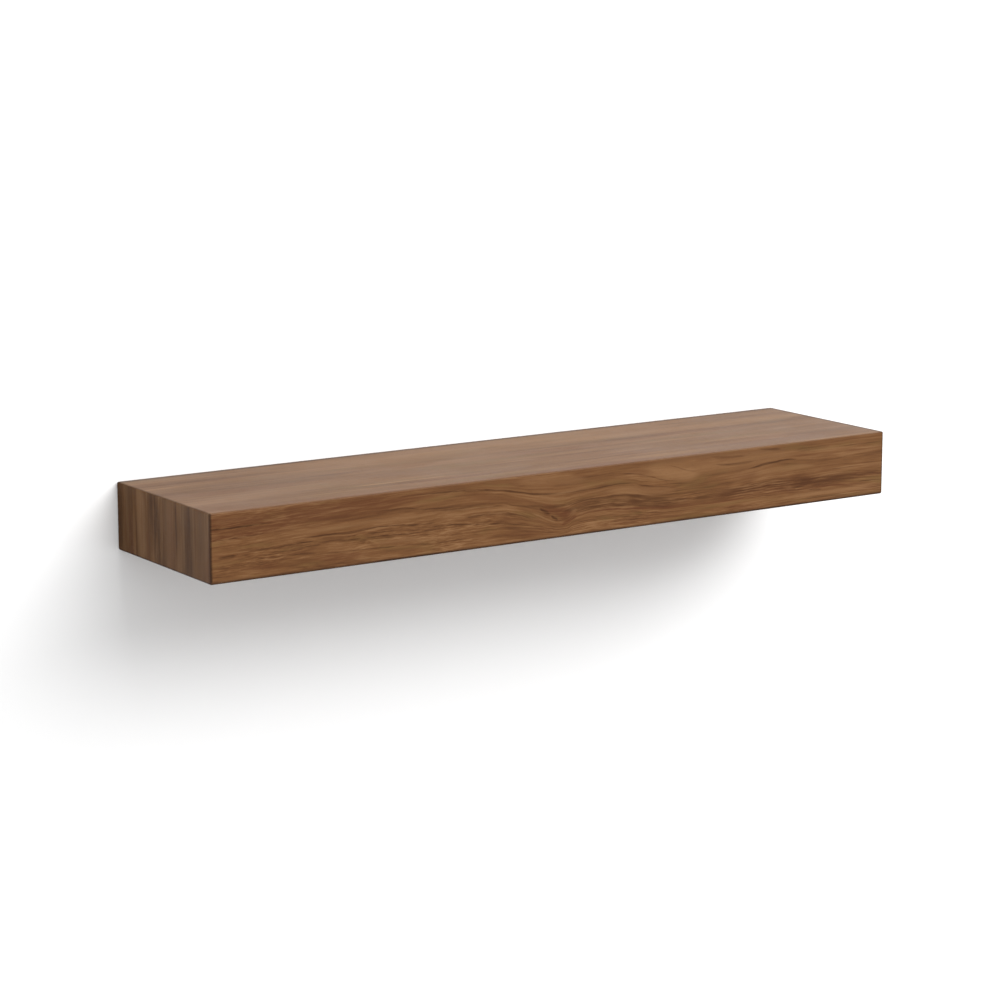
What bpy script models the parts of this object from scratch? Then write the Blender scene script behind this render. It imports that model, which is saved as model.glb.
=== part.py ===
"""A thick floating wall shelf: a hollow, mitred box of veneered panels that slides onto a steel rod bracket.

Metres, +Z up. The origin is the middle of the wall plate's back face, so the wall is the plane y = 0.
The shelf's length runs along X, and it stands out of the wall towards -Y.
"""

import math

import bmesh
import bpy
from mathutils import Matrix, Vector

# The shelf box, outside
LENGTH = 0.9144
DEPTH = 0.2159
THICKNESS = 0.0762
ARRIS_RADIUS = 0.002

# The box's panels, and the loose tongues in their mitres
PANEL_THICKNESS = 0.012
TONGUE_WIDTH = 0.009
TONGUE_THICKNESS = 0.003
TONGUE_STOP = 0.022
TONGUE_PLACE_SHARE = 0.38

# The core frame inside the box
BACK_RAIL_THICKNESS = 0.022
MIDDLE_RAIL_THICKNESS = 0.018
FRONT_RAIL_THICKNESS = 0.018
STILE_THICKNESS = 0.018
RIB_THICKNESS = 0.012
HOUSING_DEPTH = 0.004

# The wall plate
PLATE_THICKNESS = 0.00635
PLATE_END_ROOM = 0.015
PLATE_EDGE_ROOM = 0.007
PLATE_CHAMFER = 0.0006

# The support rods, and the machine screws that hold them from behind the plate
ROD_COUNT = 4
ROD_RADIUS = 0.008
ROD_TIP_ROOM = 0.02725
ROD_CHAMFER = 0.002
ROD_SEAT_DEPTH = 0.0015
ROD_END_DISTANCE = 0.0702
ROD_TIP_OVERHANG = 0.014
ROD_SCREW_RADIUS = 0.003
ROD_SCREW_HEAD_RADIUS = 0.0057
ROD_SCREW_LENGTH = 0.020
ROD_SCREW_KEY = 0.004
ROD_SCREW_SOCKET_DEPTH = 0.0024
ROD_TAPPING_ROOM = 0.003

# The flanged sleeves that run on the rods
SLEEVE_WALL = 0.002
SLEEVE_FLANGE_WIDTH = 0.003
SLEEVE_FLANGE_THICKNESS = 0.0015

# The wall screws and their plugs
STUD_SPACING = 0.4064
WALL_SCREW_END_DISTANCE = 0.0238
WALL_SCREW_RADIUS = 0.0024
WALL_SCREW_HEAD_RADIUS = 0.0054
WALL_SCREW_LENGTH = 0.065
WALL_SCREW_POINT = 0.007
WALL_SCREW_DRIVE = 0.0028
WALL_SCREW_DRIVE_DEPTH = 0.0025
PLUG_RADIUS = 0.004
PLUG_TIP_RADIUS = 0.0034
PLUG_LENGTH = 0.050
PLUG_TIP_LENGTH = 0.006
PLUG_RECESS = 0.003
PLUG_COLLAR = 0.008
PLUG_SLIT = 0.001

# The locking screws under the two outer rods, and their threaded inserts
LOCK_RADIUS = 0.003
LOCK_CHAMFER = 0.0006
LOCK_RECESS = 0.0012
LOCK_KEY = 0.003
LOCK_SOCKET_DEPTH = 0.0035
INSERT_RADIUS = 0.0046
INSERT_LENGTH = 0.0165
INSERT_FLANGE_RADIUS = 0.0066
INSERT_FLANGE_THICKNESS = 0.0012

# Clearances, the cutters' overrun, and how finely curves are faceted
JOINT_GAP = 0.0003
RUNNING_GAP = 0.0003
WALL_GAP = 0.0003
HEAD_RECESS = 0.0003
OVERRUN = 0.003
MERGE_DISTANCE = 0.000001
ARRIS_SEGMENTS = 4
ROD_SEGMENTS = 32
FASTENER_SEGMENTS = 20
TONGUE_END_SEGMENTS = 10
SMOOTH_UNDER = math.radians(35)

# Sizes that follow from those above
INNER_LENGTH = LENGTH - 2 * PANEL_THICKNESS
INNER_HEIGHT = THICKNESS - 2 * PANEL_THICKNESS
FRAME_LENGTH = INNER_LENGTH - 2 * JOINT_GAP
FRAME_HEIGHT = INNER_HEIGHT - 2 * JOINT_GAP
PLATE_LENGTH = INNER_LENGTH - 2 * PLATE_END_ROOM
PLATE_HEIGHT = INNER_HEIGHT - 2 * PLATE_EDGE_ROOM
ROD_SPAN = PLATE_LENGTH - 2 * ROD_END_DISTANCE
SLEEVE_BORE_RADIUS = ROD_RADIUS + RUNNING_GAP
SLEEVE_RADIUS = SLEEVE_BORE_RADIUS + SLEEVE_WALL
SLEEVE_FLANGE_RADIUS = SLEEVE_RADIUS + SLEEVE_FLANGE_WIDTH

# Where the frame's pieces stand, as distances out from the wall
BACK_RAIL = (PLATE_THICKNESS + JOINT_GAP, PLATE_THICKNESS + JOINT_GAP + BACK_RAIL_THICKNESS)
FRONT_RAIL_FACE = DEPTH - PANEL_THICKNESS - JOINT_GAP
FRONT_RAIL = (FRONT_RAIL_FACE - FRONT_RAIL_THICKNESS, FRONT_RAIL_FACE)
ROD_TIP = FRONT_RAIL[0] - ROD_TIP_ROOM
MIDDLE_RAIL = (ROD_TIP - ROD_TIP_OVERHANG - MIDDLE_RAIL_THICKNESS, ROD_TIP - ROD_TIP_OVERHANG)
FRAME_UP = (-FRAME_HEIGHT / 2, FRAME_HEIGHT / 2)
STILE_FACE = FRAME_LENGTH / 2 - STILE_THICKNESS
LOCK_OUT = (BACK_RAIL[0] + BACK_RAIL[1]) / 2

# Directions
RIGHT = Vector((1, 0, 0))
UP = Vector((0, 0, 1))
OUT = Vector((0, -1, 0))

# How far the outside of the box lies from the origin in each direction
REACH = {"top": UP * THICKNESS / 2, "bottom": -UP * THICKNESS / 2, "front": OUT * DEPTH,
         "left": -RIGHT * LENGTH / 2, "right": RIGHT * LENGTH / 2}


def at(along, out, up):
    """The point this far along the shelf, out of the wall, and up from the rods' plane."""
    return RIGHT * along + OUT * out + UP * up


def grown(span, by):
    """A (low, high) span made longer by this much at each end."""
    return (span[0] - by, span[1] + by)


def centred(middle, size):
    """The (low, high) span of this size about its middle."""
    return (middle - size / 2, middle + size / 2)


def clear_scene():
    """Takes every object out of the file."""
    for old in list(bpy.data.objects):
        bpy.data.objects.remove(old)


def finish(name, colour, roughness, metallic=0.0):
    """A Principled material of one plain colour."""
    material = bpy.data.materials.new(name)
    material.use_nodes = True
    shader = material.node_tree.nodes["Principled BSDF"]
    shader.inputs["Base Color"].default_value = (*colour, 1.0)
    shader.inputs["Roughness"].default_value = roughness
    shader.inputs["Metallic"].default_value = metallic
    material.diffuse_color = (*colour, 1.0)
    return material


def group_empty(name):
    """The empty at the origin that carries one rigid group, on its joint's axis."""
    empty = bpy.data.objects.new(name, None)
    bpy.context.scene.collection.objects.link(empty)
    return empty


def place(name, mesh, location, material=None, parent=None):
    """An object that shows this mesh at this location."""
    piece = bpy.data.objects.new(name, mesh)
    piece.location = location
    piece.parent = parent
    if material and not mesh.materials:
        mesh.materials.append(material)
    bpy.context.scene.collection.objects.link(piece)
    return piece


def mesh_from(bm, name):
    """A mesh of this bmesh, with its normals out and its round faces smooth."""
    bmesh.ops.recalc_face_normals(bm, faces=bm.faces)
    mesh = bpy.data.meshes.new(name)
    bm.to_mesh(mesh)
    bm.free()
    mesh.shade_smooth()
    mesh.set_sharp_from_angle(angle=SMOOTH_UNDER)
    return mesh


def as_cutter(piece):
    """Hides a piece that only cuts others."""
    piece.hide_render = True
    piece.display_type = "WIRE"
    return piece


def cut(piece, cutter):
    """Takes the cutter's shape out of the piece."""
    boolean = piece.modifiers.new(cutter.name, "BOOLEAN")
    boolean.operation = "DIFFERENCE"
    boolean.solver = "EXACT"
    boolean.object = cutter


def block(name, along, out, up, material=None, parent=None, chamfer=0):
    """A square-edged or chamfered board between three (low, high) spans."""
    middle = at(sum(along) / 2, sum(out) / 2, sum(up) / 2)
    bm = bmesh.new()
    bmesh.ops.create_cube(bm, size=1)
    bmesh.ops.scale(bm, vec=(along[1] - along[0], out[1] - out[0], up[1] - up[0]), verts=bm.verts)
    if chamfer:
        bmesh.ops.bevel(bm, geom=bm.edges[:], offset=chamfer, segments=1, profile=0.5, affect="EDGES")
    return place(name, mesh_from(bm, name), middle, material, parent)


def turned_mesh(name, profile, segments):
    """A shape turned about +Z from (radius, height) points, a tube where the profile is off the axis."""
    bm = bmesh.new()
    points = [bm.verts.new((radius, 0, height)) for radius, height in profile]
    edges = [bm.edges.new(pair) for pair in zip(points, points[1:])]
    if profile[0][0] > 0:
        edges.append(bm.edges.new((points[-1], points[0])))
    bmesh.ops.spin(bm, geom=points + edges, cent=(0, 0, 0), axis=UP, angle=math.tau, steps=segments,
                   use_merge=True)
    bmesh.ops.remove_doubles(bm, verts=bm.verts, dist=MERGE_DISTANCE)
    return mesh_from(bm, name)


def turned(name, mesh, base, direction, material=None, parent=None):
    """A turned mesh set on its base point with its axis along a direction."""
    piece = place(name, mesh, base, material, parent)
    piece.rotation_euler = direction.to_track_quat("Z", "Y").to_euler()
    return piece


def socket_cutter(name, sides, width, depth, base, direction):
    """The recess that a hex key or a square bit fits, sunk this deep from its base point."""
    radius = width / 2 / math.cos(math.pi / sides)
    profile = [(0, -OVERRUN), (radius, -OVERRUN), (radius, depth), (0, depth)]
    return as_cutter(turned(name, turned_mesh(name, profile, sides), base, direction))


def countersunk_mesh(name, radius, head_radius, length, point, segments):
    """A countersunk screw with a plain shank and a tapered point, its head's flat at the base."""
    head = head_radius - radius
    tip = radius - min(point, radius / 2)
    profile = [(0, 0), (head_radius, 0), (radius, head), (radius, length - point), (tip, length), (0, length)]
    return turned_mesh(name, profile, segments)


def countersink_profile(radius, head_radius, through):
    """The hole that a countersunk screw fits, from the face where its head lies, and on through the plate."""
    hole = radius + JOINT_GAP
    face = head_radius + HEAD_RECESS + JOINT_GAP * math.sqrt(2)
    return [(0, -OVERRUN), (face, -OVERRUN), (face, 0), (hole, face - hole), (hole, through + OVERRUN),
            (0, through + OVERRUN)]


def outer_block():
    """The whole box as one solid, its arrises rounded all round, those against the wall too."""
    bm = bmesh.new()
    bmesh.ops.create_cube(bm, size=1)
    bmesh.ops.scale(bm, vec=(LENGTH, DEPTH - WALL_GAP, THICKNESS), verts=bm.verts)
    bmesh.ops.translate(bm, vec=at(0, (DEPTH + WALL_GAP) / 2, 0), verts=bm.verts)
    bmesh.ops.bevel(bm, geom=bm.edges[:], offset=ARRIS_RADIUS, segments=ARRIS_SEGMENTS, profile=0.5,
                    affect="EDGES")
    return bm


def saw(bm, point, normal):
    """Saws off what lies beyond a plane and closes the sawn face."""
    everything = bm.verts[:] + bm.edges[:] + bm.faces[:]
    bmesh.ops.bisect_plane(bm, geom=everything, plane_co=point, plane_no=normal, dist=MERGE_DISTANCE,
                           clear_outer=True)
    rim = [edge for edge in bm.edges if edge.is_boundary]
    bmesh.ops.holes_fill(bm, edges=rim, sides=0)


def mitred_panel(name, side, neighbours, material, parent):
    """One panel of the box, sawn at 45 degrees where it meets each neighbour."""
    face = REACH[side]
    facing = face.normalized()
    bm = outer_block()
    saw(bm, face - facing * PANEL_THICKNESS, -facing)
    for neighbour in neighbours:
        normal = (REACH[neighbour].normalized() - facing).normalized()
        saw(bm, face + REACH[neighbour] - normal * JOINT_GAP / 2, normal)
    bmesh.ops.translate(bm, vec=-face, verts=bm.verts)
    return place(name, mesh_from(bm, name), face, material, parent)


def tongue_mesh(name, length, width, thickness):
    """A round-ended strip, its length along X, its width along Y and its thickness along Z."""
    bm = bmesh.new()
    bmesh.ops.create_circle(bm, cap_ends=True, radius=width / 2, segments=2 * TONGUE_END_SEGMENTS)
    for vert in bm.verts:
        vert.co.x += math.copysign((length - width) / 2, vert.co.x)
    bmesh.ops.translate(bm, vec=-UP * thickness / 2, verts=bm.verts)
    sides = bmesh.ops.extrude_face_region(bm, geom=bm.faces[:])
    raised = [item for item in sides["geom"] if isinstance(item, bmesh.types.BMVert)]
    bmesh.ops.translate(bm, vec=UP * thickness, verts=raised)
    return mesh_from(bm, name)


def loose_tongue(first, second, panels, material, parent):
    """The tongue in the mitre between two sides of the box, and the stopped groove that it fits."""
    facing_first = REACH[first].normalized()
    facing_second = REACH[second].normalized()
    outward = (facing_first + facing_second).normalized()
    over = (facing_first - facing_second).normalized()
    along = over.cross(outward)
    run = abs(along.dot(at(LENGTH, DEPTH, THICKNESS)))
    arris = REACH[first] + REACH[second] + along * along.dot(OUT) * DEPTH / 2
    middle = arris - outward * PANEL_THICKNESS * math.sqrt(2) * (1 - TONGUE_PLACE_SHARE)
    turn = Matrix((along, over, outward)).transposed().to_euler()

    def strip(name, gap):
        mesh = tongue_mesh(name, run - 2 * TONGUE_STOP + 2 * gap, TONGUE_WIDTH + 2 * gap,
                           TONGUE_THICKNESS + 2 * gap)
        piece = place(name, mesh, middle, material, parent)
        piece.rotation_euler = turn
        return piece

    strip(f"tongue_{first}_{second}", 0)
    groove = as_cutter(strip(f"groove_{first}_{second}", JOINT_GAP))
    for side in (first, second):
        cut(panels[side], groove)


def rod_places():
    """Where the rods stand along the shelf."""
    return [ROD_SPAN * (index / (ROD_COUNT - 1) - 1 / 2) for index in range(ROD_COUNT)]


def rib_places():
    """Where the ribs stand, midway between the rods."""
    rods = rod_places()
    return [(left + right) / 2 for left, right in zip(rods, rods[1:])]


def wall_screw_places():
    """Where the wall screws stand: one pair on the studs, and one pair near the plate's ends."""
    stud = STUD_SPACING / 2
    end = PLATE_LENGTH / 2 - WALL_SCREW_END_DISTANCE
    return [-end, -stud, stud, end]


def build_plate(steel, parent):
    """The flat bar against the wall, drilled from behind for the rods and from the front for wall screws."""
    plate = block("wall_plate", centred(0, PLATE_LENGTH), (0, PLATE_THICKNESS), centred(0, PLATE_HEIGHT),
                  steel, parent, PLATE_CHAMFER)
    seat_floor = PLATE_THICKNESS - ROD_SEAT_DEPTH
    rod_hole = countersink_profile(ROD_SCREW_RADIUS, ROD_SCREW_HEAD_RADIUS, seat_floor)[:4]
    seat_radius = ROD_RADIUS + JOINT_GAP
    rod_hole += [(ROD_SCREW_RADIUS + JOINT_GAP, seat_floor), (seat_radius, seat_floor),
                 (seat_radius, PLATE_THICKNESS + OVERRUN), (0, PLATE_THICKNESS + OVERRUN)]
    rod_hole_mesh = turned_mesh("rod_hole", rod_hole, ROD_SEGMENTS)
    for number, along in enumerate(rod_places(), 1):
        cut(plate, as_cutter(turned(f"rod_hole_{number}", rod_hole_mesh, at(along, 0, 0), OUT)))
    screw_hole = countersink_profile(WALL_SCREW_RADIUS, WALL_SCREW_HEAD_RADIUS, PLATE_THICKNESS)
    screw_hole_mesh = turned_mesh("screw_hole", screw_hole, FASTENER_SEGMENTS)
    for number, along in enumerate(wall_screw_places(), 1):
        base = at(along, PLATE_THICKNESS, 0)
        cut(plate, as_cutter(turned(f"screw_hole_{number}", screw_hole_mesh, base, -OUT)))


def build_rods(bright, zinc, parent):
    """The rods, tapped at their root, and the machine screws that pull them into the plate."""
    root = PLATE_THICKNESS - ROD_SEAT_DEPTH + JOINT_GAP
    length = ROD_TIP - root
    bore = ROD_SCREW_RADIUS + JOINT_GAP
    bore_depth = HEAD_RECESS + ROD_SCREW_LENGTH - root + ROD_TAPPING_ROOM
    profile = [(0, bore_depth), (bore, bore_depth), (bore, 0), (ROD_RADIUS, 0),
               (ROD_RADIUS, length - ROD_CHAMFER), (ROD_RADIUS - ROD_CHAMFER, length), (0, length)]
    rod_mesh = turned_mesh("support_rod", profile, ROD_SEGMENTS)
    screw_mesh = countersunk_mesh("rod_screw", ROD_SCREW_RADIUS, ROD_SCREW_HEAD_RADIUS, ROD_SCREW_LENGTH,
                                  ROD_SCREW_RADIUS / 4, FASTENER_SEGMENTS)
    for number, along in enumerate(rod_places(), 1):
        turned(f"support_rod_{number}", rod_mesh, at(along, root, 0), OUT, bright, parent)
        head = at(along, HEAD_RECESS, 0)
        screw = turned(f"rod_screw_{number}", screw_mesh, head, OUT, zinc, parent)
        cut(screw, socket_cutter(f"rod_screw_socket_{number}", 6, ROD_SCREW_KEY, ROD_SCREW_SOCKET_DEPTH,
                                 head, OUT))


def build_wall_fixings(zinc, nylon, parent):
    """The wall screws, driven through the plate, and the slit plugs that they spread in the wall."""
    screw_mesh = countersunk_mesh("wall_screw", WALL_SCREW_RADIUS, WALL_SCREW_HEAD_RADIUS, WALL_SCREW_LENGTH,
                                  WALL_SCREW_POINT, FASTENER_SEGMENTS)
    bore = WALL_SCREW_RADIUS + JOINT_GAP
    profile = [(bore, 0), (PLUG_RADIUS, 0), (PLUG_RADIUS, PLUG_LENGTH - PLUG_TIP_LENGTH),
               (PLUG_TIP_RADIUS, PLUG_LENGTH), (bore, PLUG_LENGTH)]
    plug_mesh = turned_mesh("wall_plug", profile, FASTENER_SEGMENTS)
    slit = (-PLUG_RECESS - PLUG_LENGTH - OVERRUN, -PLUG_RECESS - PLUG_COLLAR)
    across = 2 * (PLUG_RADIUS + OVERRUN)
    for number, along in enumerate(wall_screw_places(), 1):
        head = at(along, PLATE_THICKNESS - HEAD_RECESS, 0)
        screw = turned(f"wall_screw_{number}", screw_mesh, head, -OUT, zinc, parent)
        cut(screw, socket_cutter(f"wall_screw_drive_{number}", 4, WALL_SCREW_DRIVE, WALL_SCREW_DRIVE_DEPTH,
                                 head, -OUT))
        plug = turned(f"wall_plug_{number}", plug_mesh, at(along, -PLUG_RECESS, 0), -OUT, nylon, parent)
        for way, width, height in (("level", across, PLUG_SLIT), ("upright", PLUG_SLIT, across)):
            slot = block(f"plug_slit_{way}_{number}", centred(along, width), slit, centred(0, height))
            cut(plug, as_cutter(slot))


def build_panels(walnut, parent):
    """The five mitred panels of the box."""
    ends = ("left", "right")
    return {
        "top": mitred_panel("top_panel", "top", ("front", *ends), walnut["top"], parent),
        "bottom": mitred_panel("bottom_panel", "bottom", ("front", *ends), walnut["underside"], parent),
        "front": mitred_panel("front_panel", "front", ("top", "bottom", *ends), walnut["front"], parent),
        "left": mitred_panel("end_panel_left", "left", ("top", "bottom", "front"), walnut["end"], parent),
        "right": mitred_panel("end_panel_right", "right", ("top", "bottom", "front"), walnut["end"], parent),
    }


def build_tongues(panels, plywood, parent):
    """The loose tongues in the eight long mitres."""
    for edge in ("top", "bottom"):
        loose_tongue("front", edge, panels, plywood, parent)
    for end in ("left", "right"):
        for edge in ("top", "bottom", "front"):
            loose_tongue(end, edge, panels, plywood, parent)


def build_frame(timber, parent):
    """The core frame: three rails, two stiles, and ribs that are halved into the middle rail."""
    whole = centred(0, FRAME_LENGTH)
    past = grown(FRAME_UP, OVERRUN)
    back = block("back_rail", whole, BACK_RAIL, FRAME_UP, timber, parent)
    front = block("front_rail", whole, FRONT_RAIL, FRAME_UP, timber, parent)
    middle_end = STILE_FACE + HOUSING_DEPTH - JOINT_GAP
    middle = block("middle_rail", (-middle_end, middle_end), MIDDLE_RAIL, FRAME_UP, timber, parent)
    between = (BACK_RAIL[1] + JOINT_GAP, FRONT_RAIL[0] - JOINT_GAP)
    for title, side in (("left", -1), ("right", 1)):
        along = sorted((side * STILE_FACE, side * FRAME_LENGTH / 2))
        stile = block(f"end_stile_{title}", along, between, FRAME_UP, timber, parent)
        housing = sorted((side * (STILE_FACE - OVERRUN), side * (STILE_FACE + HOUSING_DEPTH)))
        cut(stile, as_cutter(block(f"stile_housing_{title}", housing, grown(MIDDLE_RAIL, JOINT_GAP), past)))
    rib_out = (BACK_RAIL[1] - HOUSING_DEPTH + JOINT_GAP, FRONT_RAIL[0] + HOUSING_DEPTH - JOINT_GAP)
    for number, along in enumerate(rib_places(), 1):
        rib = block(f"cross_rib_{number}", centred(along, RIB_THICKNESS), rib_out, FRAME_UP, timber, parent)
        slot = centred(along, RIB_THICKNESS + 2 * JOINT_GAP)
        wide = centred(along, RIB_THICKNESS + 2 * OVERRUN)
        upper = (-JOINT_GAP / 2, past[1])
        lower = (past[0], JOINT_GAP / 2)
        into_back = (BACK_RAIL[1] - HOUSING_DEPTH, BACK_RAIL[1] + OVERRUN)
        into_front = (FRONT_RAIL[0] - OVERRUN, FRONT_RAIL[0] + HOUSING_DEPTH)
        cut(rib, as_cutter(block(f"rib_halving_{number}", wide, grown(MIDDLE_RAIL, JOINT_GAP), upper)))
        cut(middle, as_cutter(block(f"rail_halving_{number}", slot, grown(MIDDLE_RAIL, OVERRUN), lower)))
        cut(back, as_cutter(block(f"back_housing_{number}", slot, into_back, past)))
        cut(front, as_cutter(block(f"front_housing_{number}", slot, into_front, past)))
    return back, middle


def bore_for_rods(back, middle):
    """The stepped bores in the back rail for the sleeves, and the plain ones in the middle rail."""
    sleeve = SLEEVE_RADIUS + JOINT_GAP
    flange = SLEEVE_FLANGE_RADIUS + JOINT_GAP
    floor = SLEEVE_FLANGE_THICKNESS + JOINT_GAP
    stepped = [(0, -OVERRUN), (flange, -OVERRUN), (flange, floor), (sleeve, floor),
               (sleeve, BACK_RAIL_THICKNESS + OVERRUN), (0, BACK_RAIL_THICKNESS + OVERRUN)]
    stepped_mesh = turned_mesh("sleeve_bore", stepped, ROD_SEGMENTS)
    plain = ROD_RADIUS + RUNNING_GAP
    plain_profile = [(0, -OVERRUN), (plain, -OVERRUN), (plain, MIDDLE_RAIL_THICKNESS + OVERRUN),
                     (0, MIDDLE_RAIL_THICKNESS + OVERRUN)]
    plain_mesh = turned_mesh("rod_bore", plain_profile, ROD_SEGMENTS)
    for number, along in enumerate(rod_places(), 1):
        cut(back, as_cutter(turned(f"sleeve_bore_{number}", stepped_mesh, at(along, BACK_RAIL[0], 0), OUT)))
        cut(middle, as_cutter(turned(f"rod_bore_{number}", plain_mesh, at(along, MIDDLE_RAIL[0], 0), OUT)))


def build_sleeves(nylon, parent):
    """The flanged sleeves in the back rail, flush with both its faces."""
    profile = [(SLEEVE_BORE_RADIUS, 0), (SLEEVE_FLANGE_RADIUS, 0),
               (SLEEVE_FLANGE_RADIUS, SLEEVE_FLANGE_THICKNESS), (SLEEVE_RADIUS, SLEEVE_FLANGE_THICKNESS),
               (SLEEVE_RADIUS, BACK_RAIL_THICKNESS), (SLEEVE_BORE_RADIUS, BACK_RAIL_THICKNESS)]
    mesh = turned_mesh("rod_sleeve", profile, ROD_SEGMENTS)
    return [turned(f"rod_sleeve_{number}", mesh, at(along, BACK_RAIL[0], 0), OUT, nylon, parent)
            for number, along in enumerate(rod_places(), 1)]


def build_locks(bottom, back, sleeves, brass, zinc, parent):
    """The socket set screws that clamp the outer rods, their threaded inserts, and the holes they share."""
    flange = INSERT_FLANGE_RADIUS + JOINT_GAP
    floor = INSERT_FLANGE_THICKNESS + JOINT_GAP
    body = INSERT_RADIUS + JOINT_GAP
    bore = LOCK_RADIUS + JOINT_GAP
    end = INSERT_LENGTH + JOINT_GAP
    hole = [(0, -OVERRUN), (flange, -OVERRUN), (flange, floor), (body, floor), (body, end), (bore, end),
            (bore, THICKNESS / 2), (0, THICKNESS / 2)]
    hole_mesh = turned_mesh("lock_hole", hole, FASTENER_SEGMENTS)
    insert = [(bore, 0), (INSERT_FLANGE_RADIUS, 0), (INSERT_FLANGE_RADIUS, INSERT_FLANGE_THICKNESS),
              (INSERT_RADIUS, INSERT_FLANGE_THICKNESS), (INSERT_RADIUS, INSERT_LENGTH), (bore, INSERT_LENGTH)]
    insert_mesh = turned_mesh("threaded_insert", insert, FASTENER_SEGMENTS)
    length = THICKNESS / 2 - ROD_RADIUS - JOINT_GAP - LOCK_RECESS
    slim = LOCK_RADIUS - LOCK_CHAMFER
    screw = [(0, 0), (slim, 0), (LOCK_RADIUS, LOCK_CHAMFER), (LOCK_RADIUS, length - LOCK_CHAMFER),
             (slim, length), (0, length)]
    screw_mesh = turned_mesh("locking_screw", screw, FASTENER_SEGMENTS)
    rods = rod_places()
    for title, along, sleeve in (("left", rods[0], sleeves[0]), ("right", rods[-1], sleeves[-1])):
        under = at(along, LOCK_OUT, -THICKNESS / 2)
        hole_cutter = as_cutter(turned(f"lock_hole_{title}", hole_mesh, under, UP))
        for piece in (bottom, back, sleeve):
            cut(piece, hole_cutter)
        turned(f"threaded_insert_{title}", insert_mesh, under, UP, brass, parent)
        base = under + UP * LOCK_RECESS
        lock = turned(f"locking_screw_{title}", screw_mesh, base, UP, zinc, parent)
        cut(lock, socket_cutter(f"lock_socket_{title}", 6, LOCK_KEY, LOCK_SOCKET_DEPTH, base, UP))


def main():
    """Builds the bracket that stays on the wall, then the shelf box that slides onto it."""
    clear_scene()
    walnut = {
        "top": finish("walnut_top", (0.29, 0.19, 0.135), 0.42),
        "underside": finish("walnut_underside", (0.22, 0.125, 0.075), 0.42),
        "front": finish("walnut_front", (0.20, 0.095, 0.042), 0.42),
        "end": finish("walnut_end", (0.16, 0.09, 0.055), 0.45),
    }
    timber = finish("core_timber", (0.55, 0.38, 0.22), 0.7)
    plywood = finish("tongue_plywood", (0.60, 0.42, 0.25), 0.7)
    black = finish("black_steel", (0.02, 0.02, 0.022), 0.5)
    bright = finish("bright_steel", (0.55, 0.55, 0.56), 0.3, 1.0)
    zinc = finish("zinc_steel", (0.62, 0.62, 0.60), 0.35, 1.0)
    brass = finish("brass", (0.68, 0.48, 0.20), 0.35, 1.0)
    white_nylon = finish("sleeve_nylon", (0.75, 0.74, 0.70), 0.45)
    grey_nylon = finish("plug_nylon", (0.30, 0.31, 0.33), 0.55)

    bracket = group_empty("wall_bracket_axis")
    build_plate(black, bracket)
    build_rods(bright, zinc, bracket)
    build_wall_fixings(zinc, grey_nylon, bracket)

    shelf_box = group_empty("shelf_slide_axis")
    panels = build_panels(walnut, shelf_box)
    build_tongues(panels, plywood, shelf_box)
    back, middle = build_frame(timber, shelf_box)
    bore_for_rods(back, middle)
    sleeves = build_sleeves(white_nylon, shelf_box)
    build_locks(panels["bottom"], back, sleeves, brass, zinc, shelf_box)


main()
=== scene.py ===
"""The looks of a thick walnut wall shelf that slides onto a concealed steel rod bracket.

Metres, +Z up. The wall is the plane y = 0, and the shelf stands out of it towards -Y.
"""
import logging
import math
from collections.abc import Callable, Sequence
from dataclasses import dataclass, field
from enum import Enum

import bmesh
import bpy
from mathutils import Matrix, Vector


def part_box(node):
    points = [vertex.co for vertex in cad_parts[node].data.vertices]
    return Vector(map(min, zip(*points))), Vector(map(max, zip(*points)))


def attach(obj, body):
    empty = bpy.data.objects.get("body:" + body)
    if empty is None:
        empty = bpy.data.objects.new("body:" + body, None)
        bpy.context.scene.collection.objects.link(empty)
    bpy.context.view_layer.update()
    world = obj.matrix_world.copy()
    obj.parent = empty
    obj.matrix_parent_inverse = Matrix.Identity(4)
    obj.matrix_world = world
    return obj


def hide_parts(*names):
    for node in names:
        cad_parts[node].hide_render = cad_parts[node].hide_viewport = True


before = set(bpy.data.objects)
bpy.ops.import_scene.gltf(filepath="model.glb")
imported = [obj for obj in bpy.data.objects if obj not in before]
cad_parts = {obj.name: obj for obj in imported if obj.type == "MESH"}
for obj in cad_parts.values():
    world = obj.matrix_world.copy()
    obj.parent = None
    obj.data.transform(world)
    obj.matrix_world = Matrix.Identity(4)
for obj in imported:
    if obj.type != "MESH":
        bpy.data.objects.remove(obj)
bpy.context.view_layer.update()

LOG = logging.getLogger("wall_shelf")

Colour = tuple[float, float, float]
Place = tuple[float, float, float]
Share = tuple[float, float]
Material = bpy.types.Material
Mesh = bpy.types.Mesh
Piece = bpy.types.Object
Socket = bpy.types.NodeSocket
Sockets = dict[str, Socket]
Feed = Socket | float | tuple[float, ...]

AXES = "XYZ"
MERGE_DISTANCE = 0.000001
SMOOTH_UNDER = math.radians(35)
RUBS_IN_A_METRE = 60.0


class Face(Enum):
    """A side of the shelf box: its axis, and whether that axis points out of the box there."""

    TOP = ("Z", 1)
    BOTTOM = ("Z", -1)
    FRONT = ("Y", -1)
    BACK = ("Y", 1)
    LEFT = ("X", -1)
    RIGHT = ("X", 1)


class Grain(Enum):
    """The two axes of a piece's figure: the one that its grain follows, and the one across it."""

    LENGTHWISE_FLAT = ("X", "Y")
    LENGTHWISE_UPRIGHT = ("X", "Z")
    UPRIGHT = ("Z", "Y")


class Tone(Enum):
    """What a drawn line of the figure does to the wood around it."""

    DARK = "dark"
    RED = "red"
    PALE = "pale"


class Drive(Enum):
    """The recess that turns a screw, by its number of sides."""

    SQUARE = 4
    HEXAGON = 6


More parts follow.
